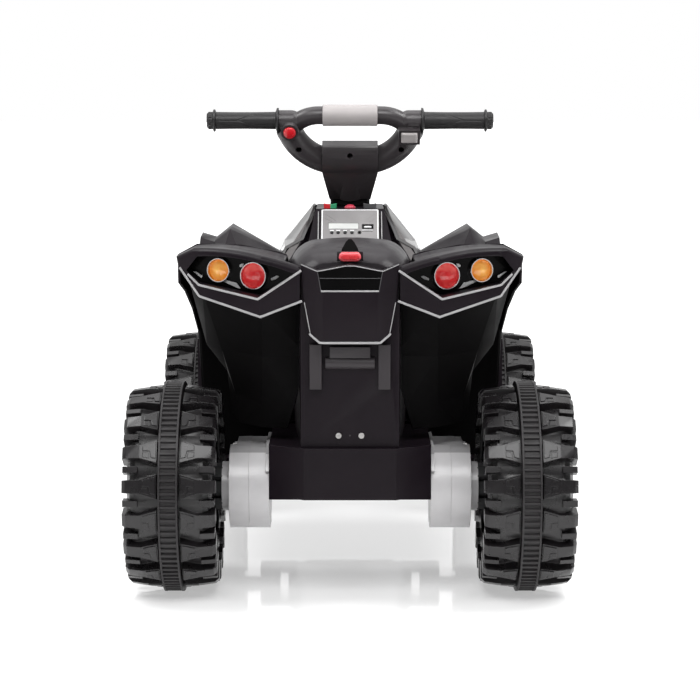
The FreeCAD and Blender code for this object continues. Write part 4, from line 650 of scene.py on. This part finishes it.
def bent(path):
    """Path with more points where it crosses the panel's two bends."""
    points = [Vector(path[0])]
    for start, end in zip(path, path[1:]):
        start, end = Vector(start), Vector(end)
        shares = []
        for bend in (-PANEL_FLAT, PANEL_FLAT):
            if min(start.x, end.x) < bend < max(start.x, end.x):
                shares.append((bend - start.x) / (end.x - start.x))
        points += [start.lerp(end, share) for share in sorted(shares)]
        points.append(end)
    return points


def tail_lines():
    mesh = bmesh.new()
    for path in WING_LINES:
        strip(mesh, path, on_wing, LINE_WIDE, low=-1.0, high=1.0)
    both_sides(mesh)
    strip(mesh, bent(PANEL_FOOT), on_panel, LINE_WIDE, low=-1.0, high=1.0)
    strip(mesh, bent(PLATE_FOOT), on_panel, PLATE_LINE_WIDE, low=-1.2, high=0.9)
    trim("tail_lines", mesh, SILVER, edge=0.5)


def tail_hairlines():
    mesh = bmesh.new()
    strip(mesh, PLATE_SIDE, on_panel, HAIR_WIDE, low=-0.5, high=0.35)
    both_sides(mesh)
    strip(mesh, bent(PLATE_HEAD), on_panel, HAIR_WIDE, low=-0.5, high=0.35)
    trim("tail_hairlines", mesh, SLATE)


# Light chevron along the tail panel's top edge, a painted highlight of its rounded edge, and a light hairline down
# each side
def tail_chevron_highlight():
    mesh = bmesh.new()
    strip(mesh, PANEL_SIDE, on_panel, CHEVRON_WIDE, low=-0.5, high=0.5)
    both_sides(mesh)
    strip(mesh, bent(CHEVRON_HIGHLIGHT), on_panel, CHEVRON_WIDE, low=-0.6, high=0.6)
    trim("tail_chevron_highlight", mesh, SILVER, edge=0.3)


def in_recess(x, z, out):
    return Vector((x * MM, PANEL_REAR + (PLATE_DEEP - out) * MM, z * MM))


def tail_plate():
    mesh = bmesh.new()
    slab(mesh, PLATE_EAR, on_panel, low=-0.4, high=0.25)
    both_sides(mesh)
    slab(mesh, PLATE_ROOF, on_panel, low=-0.4, high=0.25)
    slab(mesh, PLATE_FACE, in_recess, low=-0.2, high=0.25)
    trim("tail_plate", mesh, BLACK_AND_SHADE)


tail_lines()
tail_hairlines()
tail_chevron_highlight()
tail_plate()


# Tail lamps

AMBER_AT, AMBER_RADIUS = (176.2, 447.6), 14.3
RED_AT, RED_RADIUS = (128.4, 441.4), 16.6
RING_WIDE = 2.4
RING_PROUD = 7.0
RING_GAP = 0.2
RING_FOOT = 0.1
# White marks on the lamp pods, standing in for shiny reflector facets: partly trim, partly painted reflection; the
# last, above the red lens, is a painted highlight
ACCENTS_AND_REFLECTIONS = (((213.4, 444.7), (209.1, 444.2), (199.9, 438.8), (201.4, 435.4)),
           ((171.5, 431.9), (166.4, 433.7), (153.2, 430.8), (147.3, 422.9), (151.4, 423.4)),
           ((106.6, 437.9), (98.5, 442.3), (94.7, 440.9), (100.1, 436.7), (105.8, 435.3)),
           ((149.3, 454.8), (146.3, 457.2), (142.8, 457.0), (144.6, 452.6), (148.4, 452.0)))

# Rings of a lens: share of its radius, and count of corners
LENS_ROWS = ((0.0, 1), (0.34, 6), (0.62, 11), (0.86, 17), (1.0, 34))
LENS_SEED = 7
LENS_RIM, LENS_RISE = 2.5, 8.8
LENS_CROWN = 2.2
LENS_WOBBLE = (-0.55, 0.25)
LENS_DEEP = 2.4
# Painted light on the lenses: a glow strongest in the middle, glints on random facets, and a highlight band across
# the upper part
PAINTED_MIDDLE_GLOW, PAINTED_GLINT = 0.75, 0.3
PAINTED_BAND_HIGHLIGHT, PAINTED_BAND_GLINT, BAND_FROM = 0.55, 0.35, 0.35


def mirror_x(vector, sign):
    return Vector((vector.x * sign, vector.y, vector.z))


def cut_lens(place, radius, sign, upper):
    """Lens with crumpled facets and painted light: a painted glow brighter in the middle, else a painted highlight
    in its upper band, and painted glints on random facets.
    """
    draw = random.Random(LENS_SEED)
    mesh = bmesh.new()
    painted_glow = mesh.verts.layers.float.new("painted_glow")
    centre = on_pod(*place)
    across = UP.cross(POD_OUT)
    rings = []
    for share, count in LENS_ROWS:
        ring = []
        for i in range(count):
            angle = FULL_TURN * (i + 0.5 * (count % 2)) / count
            wobble = draw.uniform(*LENS_WOBBLE) if 0.0 < share < 1.0 else 0.0
            rise = LENS_RIM + (LENS_RISE - LENS_RIM) * (1.0 - share ** LENS_CROWN) + wobble
            u, v = share * radius * math.cos(angle), share * radius * math.sin(angle)
            spot = centre + (across * u + UP * v + POD_OUT * rise) * MM
            corner = mesh.verts.new(mirror_x(spot, sign))
            painted_bright = PAINTED_MIDDLE_GLOW * (1.0 - share) + draw.uniform(0.0, PAINTED_GLINT)
            if upper:
                in_band = v > BAND_FROM * radius and share < 1.0
                painted_bright = draw.uniform(0.0, PAINTED_BAND_GLINT) + (PAINTED_BAND_HIGHLIGHT if in_band else 0.0)
            corner[painted_glow] = painted_bright
            ring.append((angle, corner))
        rings.append(ring)
    for inner, outer in zip(rings, rings[1:]):
        stitch(mesh, inner, outer)
    rim = [corner for angle, corner in rings[-1]]
    foot = [mesh.verts.new(corner.co - mirror_x(POD_OUT, sign) * LENS_DEEP * MM) for corner in rim]
    for i, corner in enumerate(rim):
        j = (i + 1) % len(rim)
        mesh.faces.new((corner, rim[j], foot[j], foot[i]))
    mesh.faces.new(foot)
    return mesh


def stitch(mesh, inner, outer):
    """Triangles between two rings with different counts."""
    i = j = 0
    while i < len(inner) or j < len(outer):
        next_in = inner[(i + 1) % len(inner)][0] + (FULL_TURN if i + 1 >= len(inner) else 0.0)
        next_out = outer[(j + 1) % len(outer)][0] + (FULL_TURN if j + 1 >= len(outer) else 0.0)
        a, b = inner[i % len(inner)][1], outer[j % len(outer)][1]
        if j < len(outer) and (i >= len(inner) or next_out <= next_in or len(inner) == 1):
            mesh.faces.new((a, b, outer[(j + 1) % len(outer)][1]))
            j += 1
        else:
            if len(inner) > 1:
                mesh.faces.new((a, b, inner[(i + 1) % len(inner)][1]))
            i += 1


def lamp_lenses(name, node, place, radius, upper):
    for side, sign in SIDES.items():
        mesh = cut_lens(place, radius, sign, upper)
        piece = trim(f"{name}_{side}", mesh, LOOKS[SLOT_OF[node]])
        piece.data.shade_flat()
        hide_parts(node)


def lamp_rings():
    mesh = bmesh.new()
    for place, radius in ((AMBER_AT, AMBER_RADIUS), (RED_AT, RED_RADIUS)):
        inside = radius + RING_GAP
        outside = inside + RING_WIDE
        profile = ((inside, RING_FOOT), (inside, RING_PROUD - 0.8), (inside + 0.6, RING_PROUD),
                   (outside - 0.9, RING_PROUD), (outside, RING_PROUD - 1.2), (outside, RING_FOOT))
        turned(mesh, profile, on_pod(*place), POD_OUT, steps=64, loop=True)
    piece = trim("lamp_rings", both_sides(mesh), CHROME)
    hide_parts("tail_lamp_rings")


# White slabs on the pods: painted reflections, and a painted highlight by the red lens
def lamp_accents_and_reflections():
    mesh = bmesh.new()
    for outline in ACCENTS_AND_REFLECTIONS:
        slab(mesh, outline, on_pod, low=-0.4, high=1.8)
    trim("lamp_accents_and_reflections", both_sides(mesh), WHITE, edge=0.6)


# The amber lenses get a painted glow in the middle, the red ones a painted highlight in their upper band
lamp_lenses("amber_lens", "tail_lenses_amber", AMBER_AT, AMBER_RADIUS, upper=False)
lamp_lenses("red_lens", "tail_lenses_red", RED_AT, RED_RADIUS, upper=True)
lamp_rings()
lamp_accents_and_reflections()


# Seat latch

LATCH_LOW, LATCH_HIGH = 462.5, 475.0
LATCH_HALF = 15.4
LATCH_GAP = 0.2
LATCH_LIP = 4.5
LATCH_BACK, LATCH_FRONT = 86.0, 66.5
FACE_WIDE, FACE_HIGH = 0.82, 0.52
FACE_DEEP = 2.0
FACE_PROUD = 0.6
NOTCH_ARCH = ((11.8, -1.0), (9.3, 4.3), (5.8, 10.2), (1.9, 14.0))

# Slope of the notch's back: a place on it behind the axle and above the floor, and its lean
NOTCH_BACK, NOTCH_HEIGHT = 52.0, 470.0
NOTCH_RUN, NOTCH_RISE = 26.0, 25.0
NOTCH_OUT = 0.7


def latch():
    """Pill with a rounded front, in the seat's pocket, and a flat face on it; the pill's lighter rose rim round
    the darker red face is a painted highlight of its rounded edges.
    """
    low, high = LATCH_LOW + LATCH_GAP, LATCH_HIGH - LATCH_GAP
    outline = mirrored(((LATCH_HALF - LATCH_LIP, low), (LATCH_HALF, low + LATCH_LIP),
                        (LATCH_HALF - 1.2, high - 3.4), (LATCH_HALF - 3.6, high)))
    mesh = bmesh.new()
    slab(mesh, outline, behind_axle, LATCH_FRONT, LATCH_BACK - FACE_PROUD)
    piece = piece_of("seat_latch_pill", mesh, ROSE_HIGHLIGHT, "seat_latch")
    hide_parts("seat_latch")
    rounded(piece, width=2.6, angle=20.0, segments=4)
    middle = (low + high) / 2.0
    face = [(x * FACE_WIDE, middle + (z - middle) * FACE_HIGH) for x, z in outline]
    mesh = bmesh.new()
    slab(mesh, face, behind_axle, LATCH_BACK - FACE_DEEP, LATCH_BACK)
    rounded(piece_of("seat_latch_face", mesh, RED, "seat_latch"), width=0.5, angle=20.0)


def on_notch(x, z, out):
    back = NOTCH_BACK - (z - NOTCH_HEIGHT) * NOTCH_RUN / NOTCH_RISE
    return behind_axle(x, z + out * NOTCH_OUT, back + out * NOTCH_OUT)


def latch_notch_shade():
    """Dark lining on the sloped back of the notch above the latch: painted shade in the recess."""
    arch = mirrored([(x, LATCH_HIGH + rise) for x, rise in NOTCH_ARCH])
    mesh = bmesh.new()
    slab(mesh, arch, on_notch, low=0.1, high=0.6)
    piece_of("latch_notch_shade", mesh, BLACK_AND_SHADE, "seat")


latch()
latch_notch_shade()


# Dash: places across it and down from its top edge

FRAME_PATH = mirrored(((-42.4, -66.0), (-42.4, -2.6), (-41.4, -1.6)))
DISPLAY = rectangle(-32.6, -39.6, 12.6, -28.4)
SOCKET = (19.0, -39.0, 35.0, -31.0)
SOCKET_FRAME = frame_bars(*grown(SOCKET, 0.8, 0.7), wide=1.1)
SOCKET_TONGUE = rectangle(*grown(SOCKET, -2.4, -2.6))
SLOT_LINE = ((18.5, -42.4), (34.5, -42.4))
SLOT_SHADE = ((18.5, -43.9), (34.5, -43.9))
JACK_AT = (14.5, -47.0)
JACK_COLLAR = ((2.9, 0.0), (2.9, 0.7), (1.9, 0.7), (1.9, 0.0))
JACK_DEPTH = ((1.9, -2.6), (1.9, -1.0), (0.3, -1.0))
PANEL_CREASES = (((-38.0, -9.0), (-20.0, -24.0)), ((38.0, -9.0), (22.0, -24.0)),
                 ((-38.0, -18.0), (-26.0, -25.5)), ((38.0, -18.0), (30.0, -25.5)))
SHELL_DROP = -3.1
SHELL_LINE = ((48.3, -64.0), (48.3, -2.0))
KEYS_AT = (-27.5, -18.0, -7.5, 3.0)
KEYS_DOWN = -47.0
KEY_RADIUS = 2.45
KEY_CAP = ((-3.1, 5.0), (3.1, 5.0), (2.2, 2.9), (-2.2, 2.9))


def dash_trim():
    mesh = bmesh.new()
    strip(mesh, FRAME_PATH, on_dash, width=2.0, low=-0.4, high=0.6)
    strip(mesh, SLOT_LINE, on_dash, width=1.5, low=-0.4, high=0.5)
    trim("dash_frame", mesh, WHITE, edge=0.3)
    mesh = bmesh.new()
    for path in PANEL_CREASES:
        strip(mesh, path, on_dash, width=1.3, low=-0.4, high=0.25)
    trim("dash_creases", mesh, PANEL, edge=0.3)
    mesh = bmesh.new()
    strip(mesh, SHELL_LINE, on_dash, width=1.4, low=SHELL_DROP - 0.5, high=SHELL_DROP + 0.8)
    trim("dash_side_lines", both_sides(mesh), SILVER, edge=0.3)


def dash_sockets():
    mesh = bmesh.new()
    for bar in SOCKET_FRAME:
        slab(mesh, bar, on_dash, low=-0.6, high=0.5)
    strip(mesh, SLOT_SHADE, on_dash, width=1.1, low=-0.4, high=0.3)
    trim("socket_frame", mesh, DARK_STEEL)
    mesh = bmesh.new()
    slab(mesh, SOCKET_TONGUE, on_dash, low=-2.9, high=-0.3)
    trim("socket_tongue", mesh, WHITE)
    mesh = bmesh.new()
    turned(mesh, JACK_COLLAR, on_dash(*JACK_AT), DASH_OUT, steps=32, loop=True)
    trim("jack_collar", mesh, DARK_STEEL)
    mesh = bmesh.new()
    # Dark cup inside the jack: painted shade in the hole
    turned(mesh, JACK_DEPTH, on_dash(*JACK_AT), DASH_OUT, steps=24)
    trim("jack_shade", mesh, BLACK_AND_SHADE)


def display():
    mesh = bmesh.new()
    slab(mesh, DISPLAY, on_dash, low=-0.9, high=0.25)
    piece = trim("display_glass_window", mesh, GLASS, edge=0.4)
    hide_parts("display_window")


def music_keys():
    """Dark stud on each key, and a light mark above it."""
    for i, x in enumerate(KEYS_AT, 1):
        node = f"music_key_{i}"
        top = (span(node, DASH_OUT)[1] - DASH_FACE) / MM
        profile = ((KEY_RADIUS, -1.4), (KEY_RADIUS, top - 0.5), (2.0, top), (0.4, top))
        mesh = bmesh.new()
        turned(mesh, profile, on_dash(x, KEYS_DOWN), DASH_OUT, steps=28)
        piece = piece_of(f"{node}_stud", mesh, DARK_STEEL, node)
        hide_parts(node)
        mesh = bmesh.new()
        slab(mesh, [(x + u, v + KEYS_DOWN) for u, v in KEY_CAP], on_dash, low=-0.2, high=0.4)
        trim(f"{node}_mark", mesh, WHITE)


def power_rocker():
    """Rocker with a red half and a green half."""
    mesh = copied("power_rocker")
    low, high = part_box("power_rocker")
    middle = (low[0] + high[0]) / 2.0
    bmesh.ops.bisect_plane(mesh, geom=everything(mesh), plane_co=(middle, 0, 0), plane_no=ALONG_X)
    for face in mesh.faces:
        face.material_index = 1 if face.calc_center_median().x > middle else 0
    piece = piece_of("power_rocker_cap", mesh, RED, "power_rocker")
    piece.data.materials.append(GREEN)
    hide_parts("power_rocker")
    rounded(piece, width=1.0, segments=3)


dash_trim()
dash_sockets()
display()
music_keys()
power_rocker()


# Cowl cheeks beside the dash: a lighter satin lip along the raked edge, a painted highlight of the black cowl, and
# a dark inner wall

CHEEK_EDGE = ((104.5, -37.0, 435.0), (92.0, -18.0, 452.0), (81.0, 1.0, 468.0), (63.0, 31.0, 495.5),
              (57.5, 43.0, 506.5))
CHEEK_LIP = ((92.0, -37.5, 434.0), (81.5, -19.0, 450.5), (71.5, -1.0, 466.0), (57.5, 27.0, 491.5),
             (53.6, 38.0, 501.5))
CHEEK_WALL = ((76.0, -30.0, 428.0), (70.0, -13.0, 440.0), (64.5, 4.0, 452.0), (55.0, 29.0, 478.0),
              (53.2, 40.0, 490.0))


def band_between(mesh, one, other, thick):
    """Band from one edge to another, of an even thickness downwards."""
    down = Vector((0, 0, thick))
    rings = []
    for a, b in zip(one, other):
        a, b = Vector(a), Vector(b)
        rings.append([a * MM, b * MM, (b - down) * MM, (a - down) * MM])
    loft(mesh, rings)


def cheeks():
    mesh = bmesh.new()
    band_between(mesh, CHEEK_EDGE, CHEEK_LIP, thick=2.5)
    trim("cheek_lip_highlights", both_sides(mesh), LIP_HIGHLIGHT, edge=0.8)
    mesh = bmesh.new()
    band_between(mesh, CHEEK_LIP, CHEEK_WALL, thick=2.0)
    trim("cheek_walls", both_sides(mesh), BLACK)


cheeks()


# Boss round the steering column under the stem, dark with painted shade, and a blind dimple between the tail
# screws in the rails' lighter painted-highlight black

BOSS_RADIUS = 31.0
BOSS_BORE = 9.0
BOSS_GAP = 1.6
BOSS_DEEP = 34.0
BOSS_ROUND = 2.0
BOSS_BEND = 0.6
DIMPLE_AT = (0.0, 228.5)
DIMPLE = ((1.3, -0.3), (1.3, 0.3), (0.3, 0.3))


def column_boss():
    stem_end = span("handlebar_rear_shell", STEER_UP)[0] - STEER_UP.dot(STEER_AT)
    top = stem_end / MM - BOSS_GAP
    profile = ((BOSS_RADIUS, top - BOSS_DEEP), (BOSS_RADIUS, top - BOSS_ROUND),
               (BOSS_RADIUS - BOSS_BEND, top - BOSS_BEND), (BOSS_RADIUS - BOSS_ROUND, top),
               (BOSS_BORE, top), (BOSS_BORE, top - BOSS_DEEP))
    mesh = bmesh.new()
    turned(mesh, profile, STEER_AT, STEER_UP, steps=64, loop=True)
    trim("column_boss", mesh, SHADE_BLACK)


def tail_dimple():
    mesh = bmesh.new()
    spot = behind_axle(*DIMPLE_AT, REAR_AXLE.y / MM - COLUMN_REAR)
    turned(mesh, DIMPLE, spot, BEHIND, steps=20)
    trim("tail_dimple", mesh, RAIL_HIGHLIGHT)


column_boss()
tail_dimple()


# Handlebar details: screw wells at X, height and depth on the steering, and seams round the clamp

WELLS_AT = ((0.0, 11.8, 14.0), (79.0, 18.5, 12.0), (-79.0, 18.5, 12.0))
WELL = ((4.4, 0.05), (4.4, 0.5), (0.3, 0.5))
SEAM_AT = (43.0, -8.5)
SEAM_INNER, SEAM_OUTER = 19.7, 20.7
SEAM = ((SEAM_INNER, 0.0), (SEAM_OUTER, 0.0), (SEAM_OUTER, 0.8), (SEAM_INNER, 0.8))


def bar_details():
    mesh = bmesh.new()
    # Dark discs in the screw wells: painted shade in the holes
    for place in WELLS_AT:
        turned(mesh, WELL, on_steering(*place), STEER_REAR, steps=24)
    piece_of("bar_screw_well_shade", mesh, BLACK_AND_SHADE, "handlebar")
    mesh = bmesh.new()
    for sign in SIDES.values():
        spot = on_steering(sign * SEAM_AT[0], SEAM_AT[1])
        turned(mesh, SEAM, spot, ALONG_X * sign, steps=64, loop=True)
    piece_of("bar_seams", mesh, BLACK_AND_SHADE, "handlebar")


bar_details()


# Grips

GRIP_RISE = 59.0
GRIP_INNER, GRIP_OUTER = 109.4, 219.8
GRIP_RADIUS = 13.5
GRIP_WAIST = 0.6
GRIP_STEPS = 120
GRIP_ROWS = 110
FLANGE = 19.4
FLANGE_THICK, FLANGE_EASE = 2.6, 2.4
RING = 17.2
RING_FROM_END = 11.5
RING_HALF, RING_EASE = 2.4, 1.2
END_ROUND = 3.0
END_STEP, END_DROP = 0.2, 2.6
CAP_LONG = 8.0
CAP_SLOTS = 8.0
CAP_SLOT_DEEP = 1.3
CAP_SLOT_FROM, CAP_SLOT_EASE = 0.45, 0.3
CAP_EASE = 1.5
LEAVES = 3.0
LEAF_FROM_END, LEAF_SHORT = 16.0, 26.0
LEAF_DEEP, LEAF_HALF = 0.75, 1.3
LEAF_FADE = 0.06
LEAF_LEAN = math.radians(62.0)
LEAF_BACK, LEAF_ON = math.radians(46.0), math.radians(30.0)


def ease(value):
    value = min(1.0, max(0.0, value))
    return value * value * (3.0 - 2.0 * value)


def grip_radius(x):
    """Radius of the plain grip at a place along it."""
    if x < GRIP_INNER + FLANGE_THICK:
        return FLANGE
    if x < GRIP_INNER + FLANGE_THICK + FLANGE_EASE:
        return FLANGE - (FLANGE - GRIP_RADIUS) * ease((x - GRIP_INNER - FLANGE_THICK) / FLANGE_EASE)
    ring = GRIP_OUTER - RING_FROM_END
    if abs(x - ring) < RING_HALF:
        return GRIP_RADIUS + (RING - GRIP_RADIUS) * ease((RING_HALF - abs(x - ring)) / RING_EASE)
    if x > GRIP_OUTER - END_ROUND:
        return GRIP_RADIUS - END_STEP - END_DROP * ease((x - GRIP_OUTER + END_ROUND) / END_ROUND)
    return GRIP_RADIUS - GRIP_WAIST * math.sin(math.pi * (x - GRIP_INNER) / (GRIP_OUTER - GRIP_INNER))


def groove(x, angle):
    """Depth of the leaf grooves and of the slots in the end cap."""
    if x > GRIP_OUTER - CAP_LONG:
        slot = ease((math.cos(CAP_SLOTS * angle) - CAP_SLOT_FROM) / CAP_SLOT_EASE)
        return CAP_SLOT_DEEP * slot * ease((x - GRIP_OUTER + CAP_LONG) / CAP_EASE)
    share = (GRIP_OUTER - LEAF_FROM_END - x) / (GRIP_OUTER - GRIP_INNER - LEAF_SHORT)
    if not 0.0 < share < 1.0:
        return 0.0
    fade = ease(share / LEAF_FADE) * ease((1.0 - share) / LEAF_FADE)
    apart = FULL_TURN / LEAVES
    depth = 0.0
    for lean in (LEAF_LEAN - LEAF_BACK * ease((share - 0.3) / 0.4),
                 LEAF_LEAN + LEAF_ON * ease((share - 0.35) / 0.3)):
        gap = (angle - lean) % apart
        gap = min(gap, apart - gap) * GRIP_RADIUS
        depth = max(depth, LEAF_DEEP * ease(1.0 - gap / LEAF_HALF))
    return depth * fade


def grips():
    for side, sign in SIDES.items():
        rings = []
        for k in range(GRIP_ROWS + 1):
            x = GRIP_INNER + (GRIP_OUTER - GRIP_INNER) * k / GRIP_ROWS
            ring = []
            for i in range(GRIP_STEPS):
                angle = FULL_TURN * i / GRIP_STEPS
                radius = grip_radius(x) - groove(x, angle)
                rise = GRIP_RISE + radius * math.cos(angle)
                ring.append(on_steering(sign * x, rise, radius * math.sin(angle)))
            rings.append(ring)
        mesh = bmesh.new()
        loft(mesh, rings)
        piece = piece_of(f"grip_{side}", mesh, GRIP, "handlebar")
        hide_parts("handle_grips")


grips()


# Wheel details: a step plate and a lower foot on both halves of each lug

LUG_COUNT = 18
STEP_PLATE = ((16.4, 13.6), (27.5, 10.6), (34.5, 8.0), (34.5, 0.6), (25.0, 0.0), (23.0, -9.0), (16.4, -10.8))
STEP_FOOT = ((26.4, -1.4), (34.5, -0.9), (34.5, -8.2), (24.8, -10.4))
STEP_SUNK = -1.0
STEPS = ((STEP_PLATE, 1.3), (STEP_FOOT, 0.6))
LUG_TOP, LUG_WAIST = (15.0, 138.0), (38.5, 136.667)


def wheel_place(centre, sign, turn):
    """Places on the tread: across the wheel, round it, and above the lug's crown."""
    def place(x, round_it, out):
        slope = (LUG_WAIST[1] - LUG_TOP[1]) / (LUG_WAIST[0] - LUG_TOP[0])
        radius = LUG_TOP[1] + (abs(x) - LUG_TOP[0]) * slope + out
        y = -math.sin(turn) * radius + math.cos(turn) * round_it
        z = math.cos(turn) * radius + math.sin(turn) * round_it
        return centre + Vector((sign * x, y, z)) * MM
    return place


def lug_plates(end, side, sign):
    centre = Vector(JOINTS[f"{end}_{side}_spin"]["pos_m"])
    low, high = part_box(f"wheel_{end}_{side}")
    centre.x = (low[0] + high[0]) / 2.0
    mesh = bmesh.new()
    for i in range(LUG_COUNT):
        place = wheel_place(centre, sign, FULL_TURN * i / LUG_COUNT)
        for hand in SIDES.values():
            for outline, proud in STEPS:
                slab(mesh, [(hand * x, t) for x, t in outline], place, STEP_SUNK, proud)
    body = f"{end}_wheel_{side}"
    piece = piece_of(f"lug_plates_{end}_{side}", mesh, WHEEL, body)
    rounded(piece, width=0.5)


for end in ENDS:
    for side, sign in SIDES.items():
        lug_plates(end, side, sign)


# Headlights and nose: ringed reflectors behind domed lenses, and a slotted grille under them

LAMP_AT = (46.0, 352.0)
LAMP_RADIUS = 20.8
LAMP_INNER = 18.2
LAMP_BALL = 33.6
LAMP_FOOT, LAMP_FRONT = [reach / MM for reach in span("headlights", AHEAD)]
LAMP_STEPS = 56
LENS_SINK, LENS_BACK = 0.4, 1.8
LENS_RADII = (LAMP_INNER - 0.2, 14.0, 9.0, 4.0, 0.6)

# Radius, and height above the lamp's foot
BOWL = ((14.0, 13.0), (9.0, 6.0), (5.0, 3.5), (5.0, 1.2))
BULB = ((4.6, 2.0), (4.6, 12.0), (3.6, 15.0), (1.2, 16.5))

NOSE_FACE = 442.0
GRILLE_LOW, GRILLE_HIGH = 305.0, 327.0
GRILLE_FOOT, GRILLE_HEAD = 57.0, 64.0
GRILLE = ((-GRILLE_FOOT, GRILLE_LOW), (GRILLE_FOOT, GRILLE_LOW),
          (GRILLE_HEAD, GRILLE_HIGH), (-GRILLE_HEAD, GRILLE_HIGH))
GRILLE_BARS = (310.5, 316.0, 321.5)
BAR_SHORT = 2.0
BROW = mirrored(((66.0, 330.5), (24.0, 330.5), (17.0, 338.0)))


def on_nose(x, z, out):
    return Vector((x, NOSE_FACE + out, z)) * MM


def on_lens(radius, back=0.0):
    """Radius from the lens's middle, and place behind its domed face along the bike."""
    return radius, LAMP_FRONT - LAMP_BALL + math.sqrt(LAMP_BALL ** 2 - radius ** 2) - back


def above_foot(profile):
    return [(radius, LAMP_FOOT + rise) for radius, rise in profile]


def headlights():
    ring = above_foot([(LAMP_RADIUS, 1.0)]) + [
        on_lens(LAMP_RADIUS, 1.0), on_lens(LAMP_RADIUS - 1.0), on_lens(LAMP_INNER + 0.4),
        on_lens(LAMP_INNER, 1.5)] + above_foot([(LAMP_INNER, 1.0)])
    inside = LAMP_INNER - 0.1
    bowl = above_foot([(inside, 1.2)]) + [(inside, on_lens(LAMP_INNER, 2.6)[1])] + above_foot(BOWL)
    glass = [on_lens(radius, LENS_SINK) for radius in LENS_RADII]
    glass += [on_lens(radius, LENS_BACK) for radius in reversed(LENS_RADII)]
    parts = (("ring", ring, "bright_ring", True), ("bowl", bowl, "bright_ring", True),
             ("bulb", above_foot(BULB), "display_glass", False), ("lens", glass, "clear_lens", False))
    for side, sign in SIDES.items():
        spot = Vector((sign * LAMP_AT[0], 0.0, LAMP_AT[1])) * MM
        for name, profile, slot, loop in parts:
            mesh = bmesh.new()
            turned(mesh, profile, spot, AHEAD, LAMP_STEPS, loop)
            piece = trim(f"headlight_{name}_{side}", mesh, LOOKS[slot])
            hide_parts("headlights")


def nose():
    mesh = bmesh.new()
    # Dark slab behind the grille bars: painted shade in the openings
    slab(mesh, GRILLE, on_nose, low=-0.4, high=0.3)
    trim("grille_shade", mesh, BLACK_AND_SHADE)
    mesh = bmesh.new()
    for z in GRILLE_BARS:
        share = (z - GRILLE_LOW) * (GRILLE_HEAD - GRILLE_FOOT) / (GRILLE_HIGH - GRILLE_LOW)
        reach = GRILLE_FOOT + share - BAR_SHORT
        strip(mesh, ((-reach, z), (reach, z)), on_nose, width=2.0, low=-0.3, high=1.4)
    trim("grille_bars", mesh, SLATE, edge=0.4)
    mesh = bmesh.new()
    strip(mesh, BROW, on_nose, width=2.6, low=-0.4, high=0.9)
    trim("nose_line", mesh, SILVER, edge=0.4)


headlights()
nose()


# Camera, light and floor

WORLD_SEEN = 1.0
WORLD_BEHIND, WORLD_AHEAD = 0.20, 0.95
WORLD_START, WORLD_END = -0.1, 0.9
FLOOR_NEAR, FLOOR_FAR = 0.42, 0.95
FLOOR_START, FLOOR_END = 0.2, 4.0
FLOOR_HALF = 40.0
PURE_WHITE = (1.0, 1.0, 1.0, 1.0)


def make_camera():
    data = bpy.data.cameras.new("camera")
    data.sensor_width = SENSOR_MM
    data.lens = SENSOR_MM * FOCAL_PIXELS / FRAME_PIXELS
    camera = bpy.data.objects.new("camera", data)
    camera.location = (0.0, REAR_AXLE.y - CAMERA_BEHIND, CAMERA_HEIGHT)
    camera.rotation_euler = (math.radians(90.0 - CAMERA_PITCH), 0.0, 0.0)
    bpy.context.scene.collection.objects.link(camera)
    bpy.context.scene.camera = camera


def area_light(name, place, target, size, power):
    data = bpy.data.lights.new(name, "AREA")
    data.shape = "RECTANGLE"
    data.size, data.size_y = size
    data.energy = power
    light = bpy.data.objects.new(name, data)
    light.location = place
    light.rotation_euler = (Vector(target) - Vector(place)).to_track_quat("-Z", "Y").to_euler()
    bpy.context.scene.collection.objects.link(light)


def make_world():
    """White backdrop to look at; as a light it is bright ahead of the bike and dim behind it."""
    world = bpy.data.worlds.new("studio")
    world.use_nodes = True
    bpy.context.scene.world = world
    tree = world.node_tree
    back = tree.nodes["Background"]
    feed(tree, back.inputs["Color"], PURE_WHITE)
    place = add_node(tree, "TexCoord").outputs["Generated"]
    ahead = add_node(tree, "SeparateXYZ", Vector=place).outputs["Y"]
    light = add_node(tree, "MapRange", Value=ahead, From_Min=WORLD_START, From_Max=WORLD_END,
                     To_Min=WORLD_BEHIND, To_Max=WORLD_AHEAD).outputs["Result"]
    seen = add_node(tree, "LightPath").outputs["Is Camera Ray"]
    strength = add_node(tree, "MapRange", Value=seen, To_Min=light, To_Max=WORLD_SEEN).outputs["Result"]
    feed(tree, back.inputs["Strength"], strength)


def make_floor():
    surface = Surface("studio_floor", (0.80, 0.80, 0.80), Roughness=0.045, Specular_IOR_Level=0.35)
    surface.mottle((0.79, 0.79, 0.79), scale=2.0)
    surface.set("Emission Color", PURE_WHITE)
    ahead = surface.node("SeparateXYZ", Vector=surface.place).outputs["Y"]
    strength = surface.spread(ahead, FLOOR_NEAR, FLOOR_FAR, FLOOR_START, FLOOR_END)
    surface.set("Emission Strength", strength)
    mesh = bmesh.new()
    bmesh.ops.create_grid(mesh, x_segments=4, y_segments=4, size=FLOOR_HALF)
    data = bpy.data.meshes.new("studio_floor")
    mesh.to_mesh(data)
    mesh.free()
    data.materials.append(surface.material)
    floor = bpy.data.objects.new("studio_floor", data)
    bpy.context.scene.collection.objects.link(floor)


make_camera()
make_world()
make_floor()
area_light("rear_key", place=(0.0, -2.35, 2.65), target=(0.0, -0.2, 0.3), size=(2.6, 1.4), power=70.0)
area_light("overhead", place=(0.0, 0.5, 2.6), target=(0.0, 0.0, 0.3), size=(2.2, 1.8), power=22.0)
for side, sign in SIDES.items():
    area_light(f"{side}_high", place=(1.5 * sign, -0.3, 2.1), target=(0.2 * sign, -0.3, 0.2),
               size=(0.9, 1.2), power=30.0)
bpy.context.scene.view_settings.view_transform = "Standard"
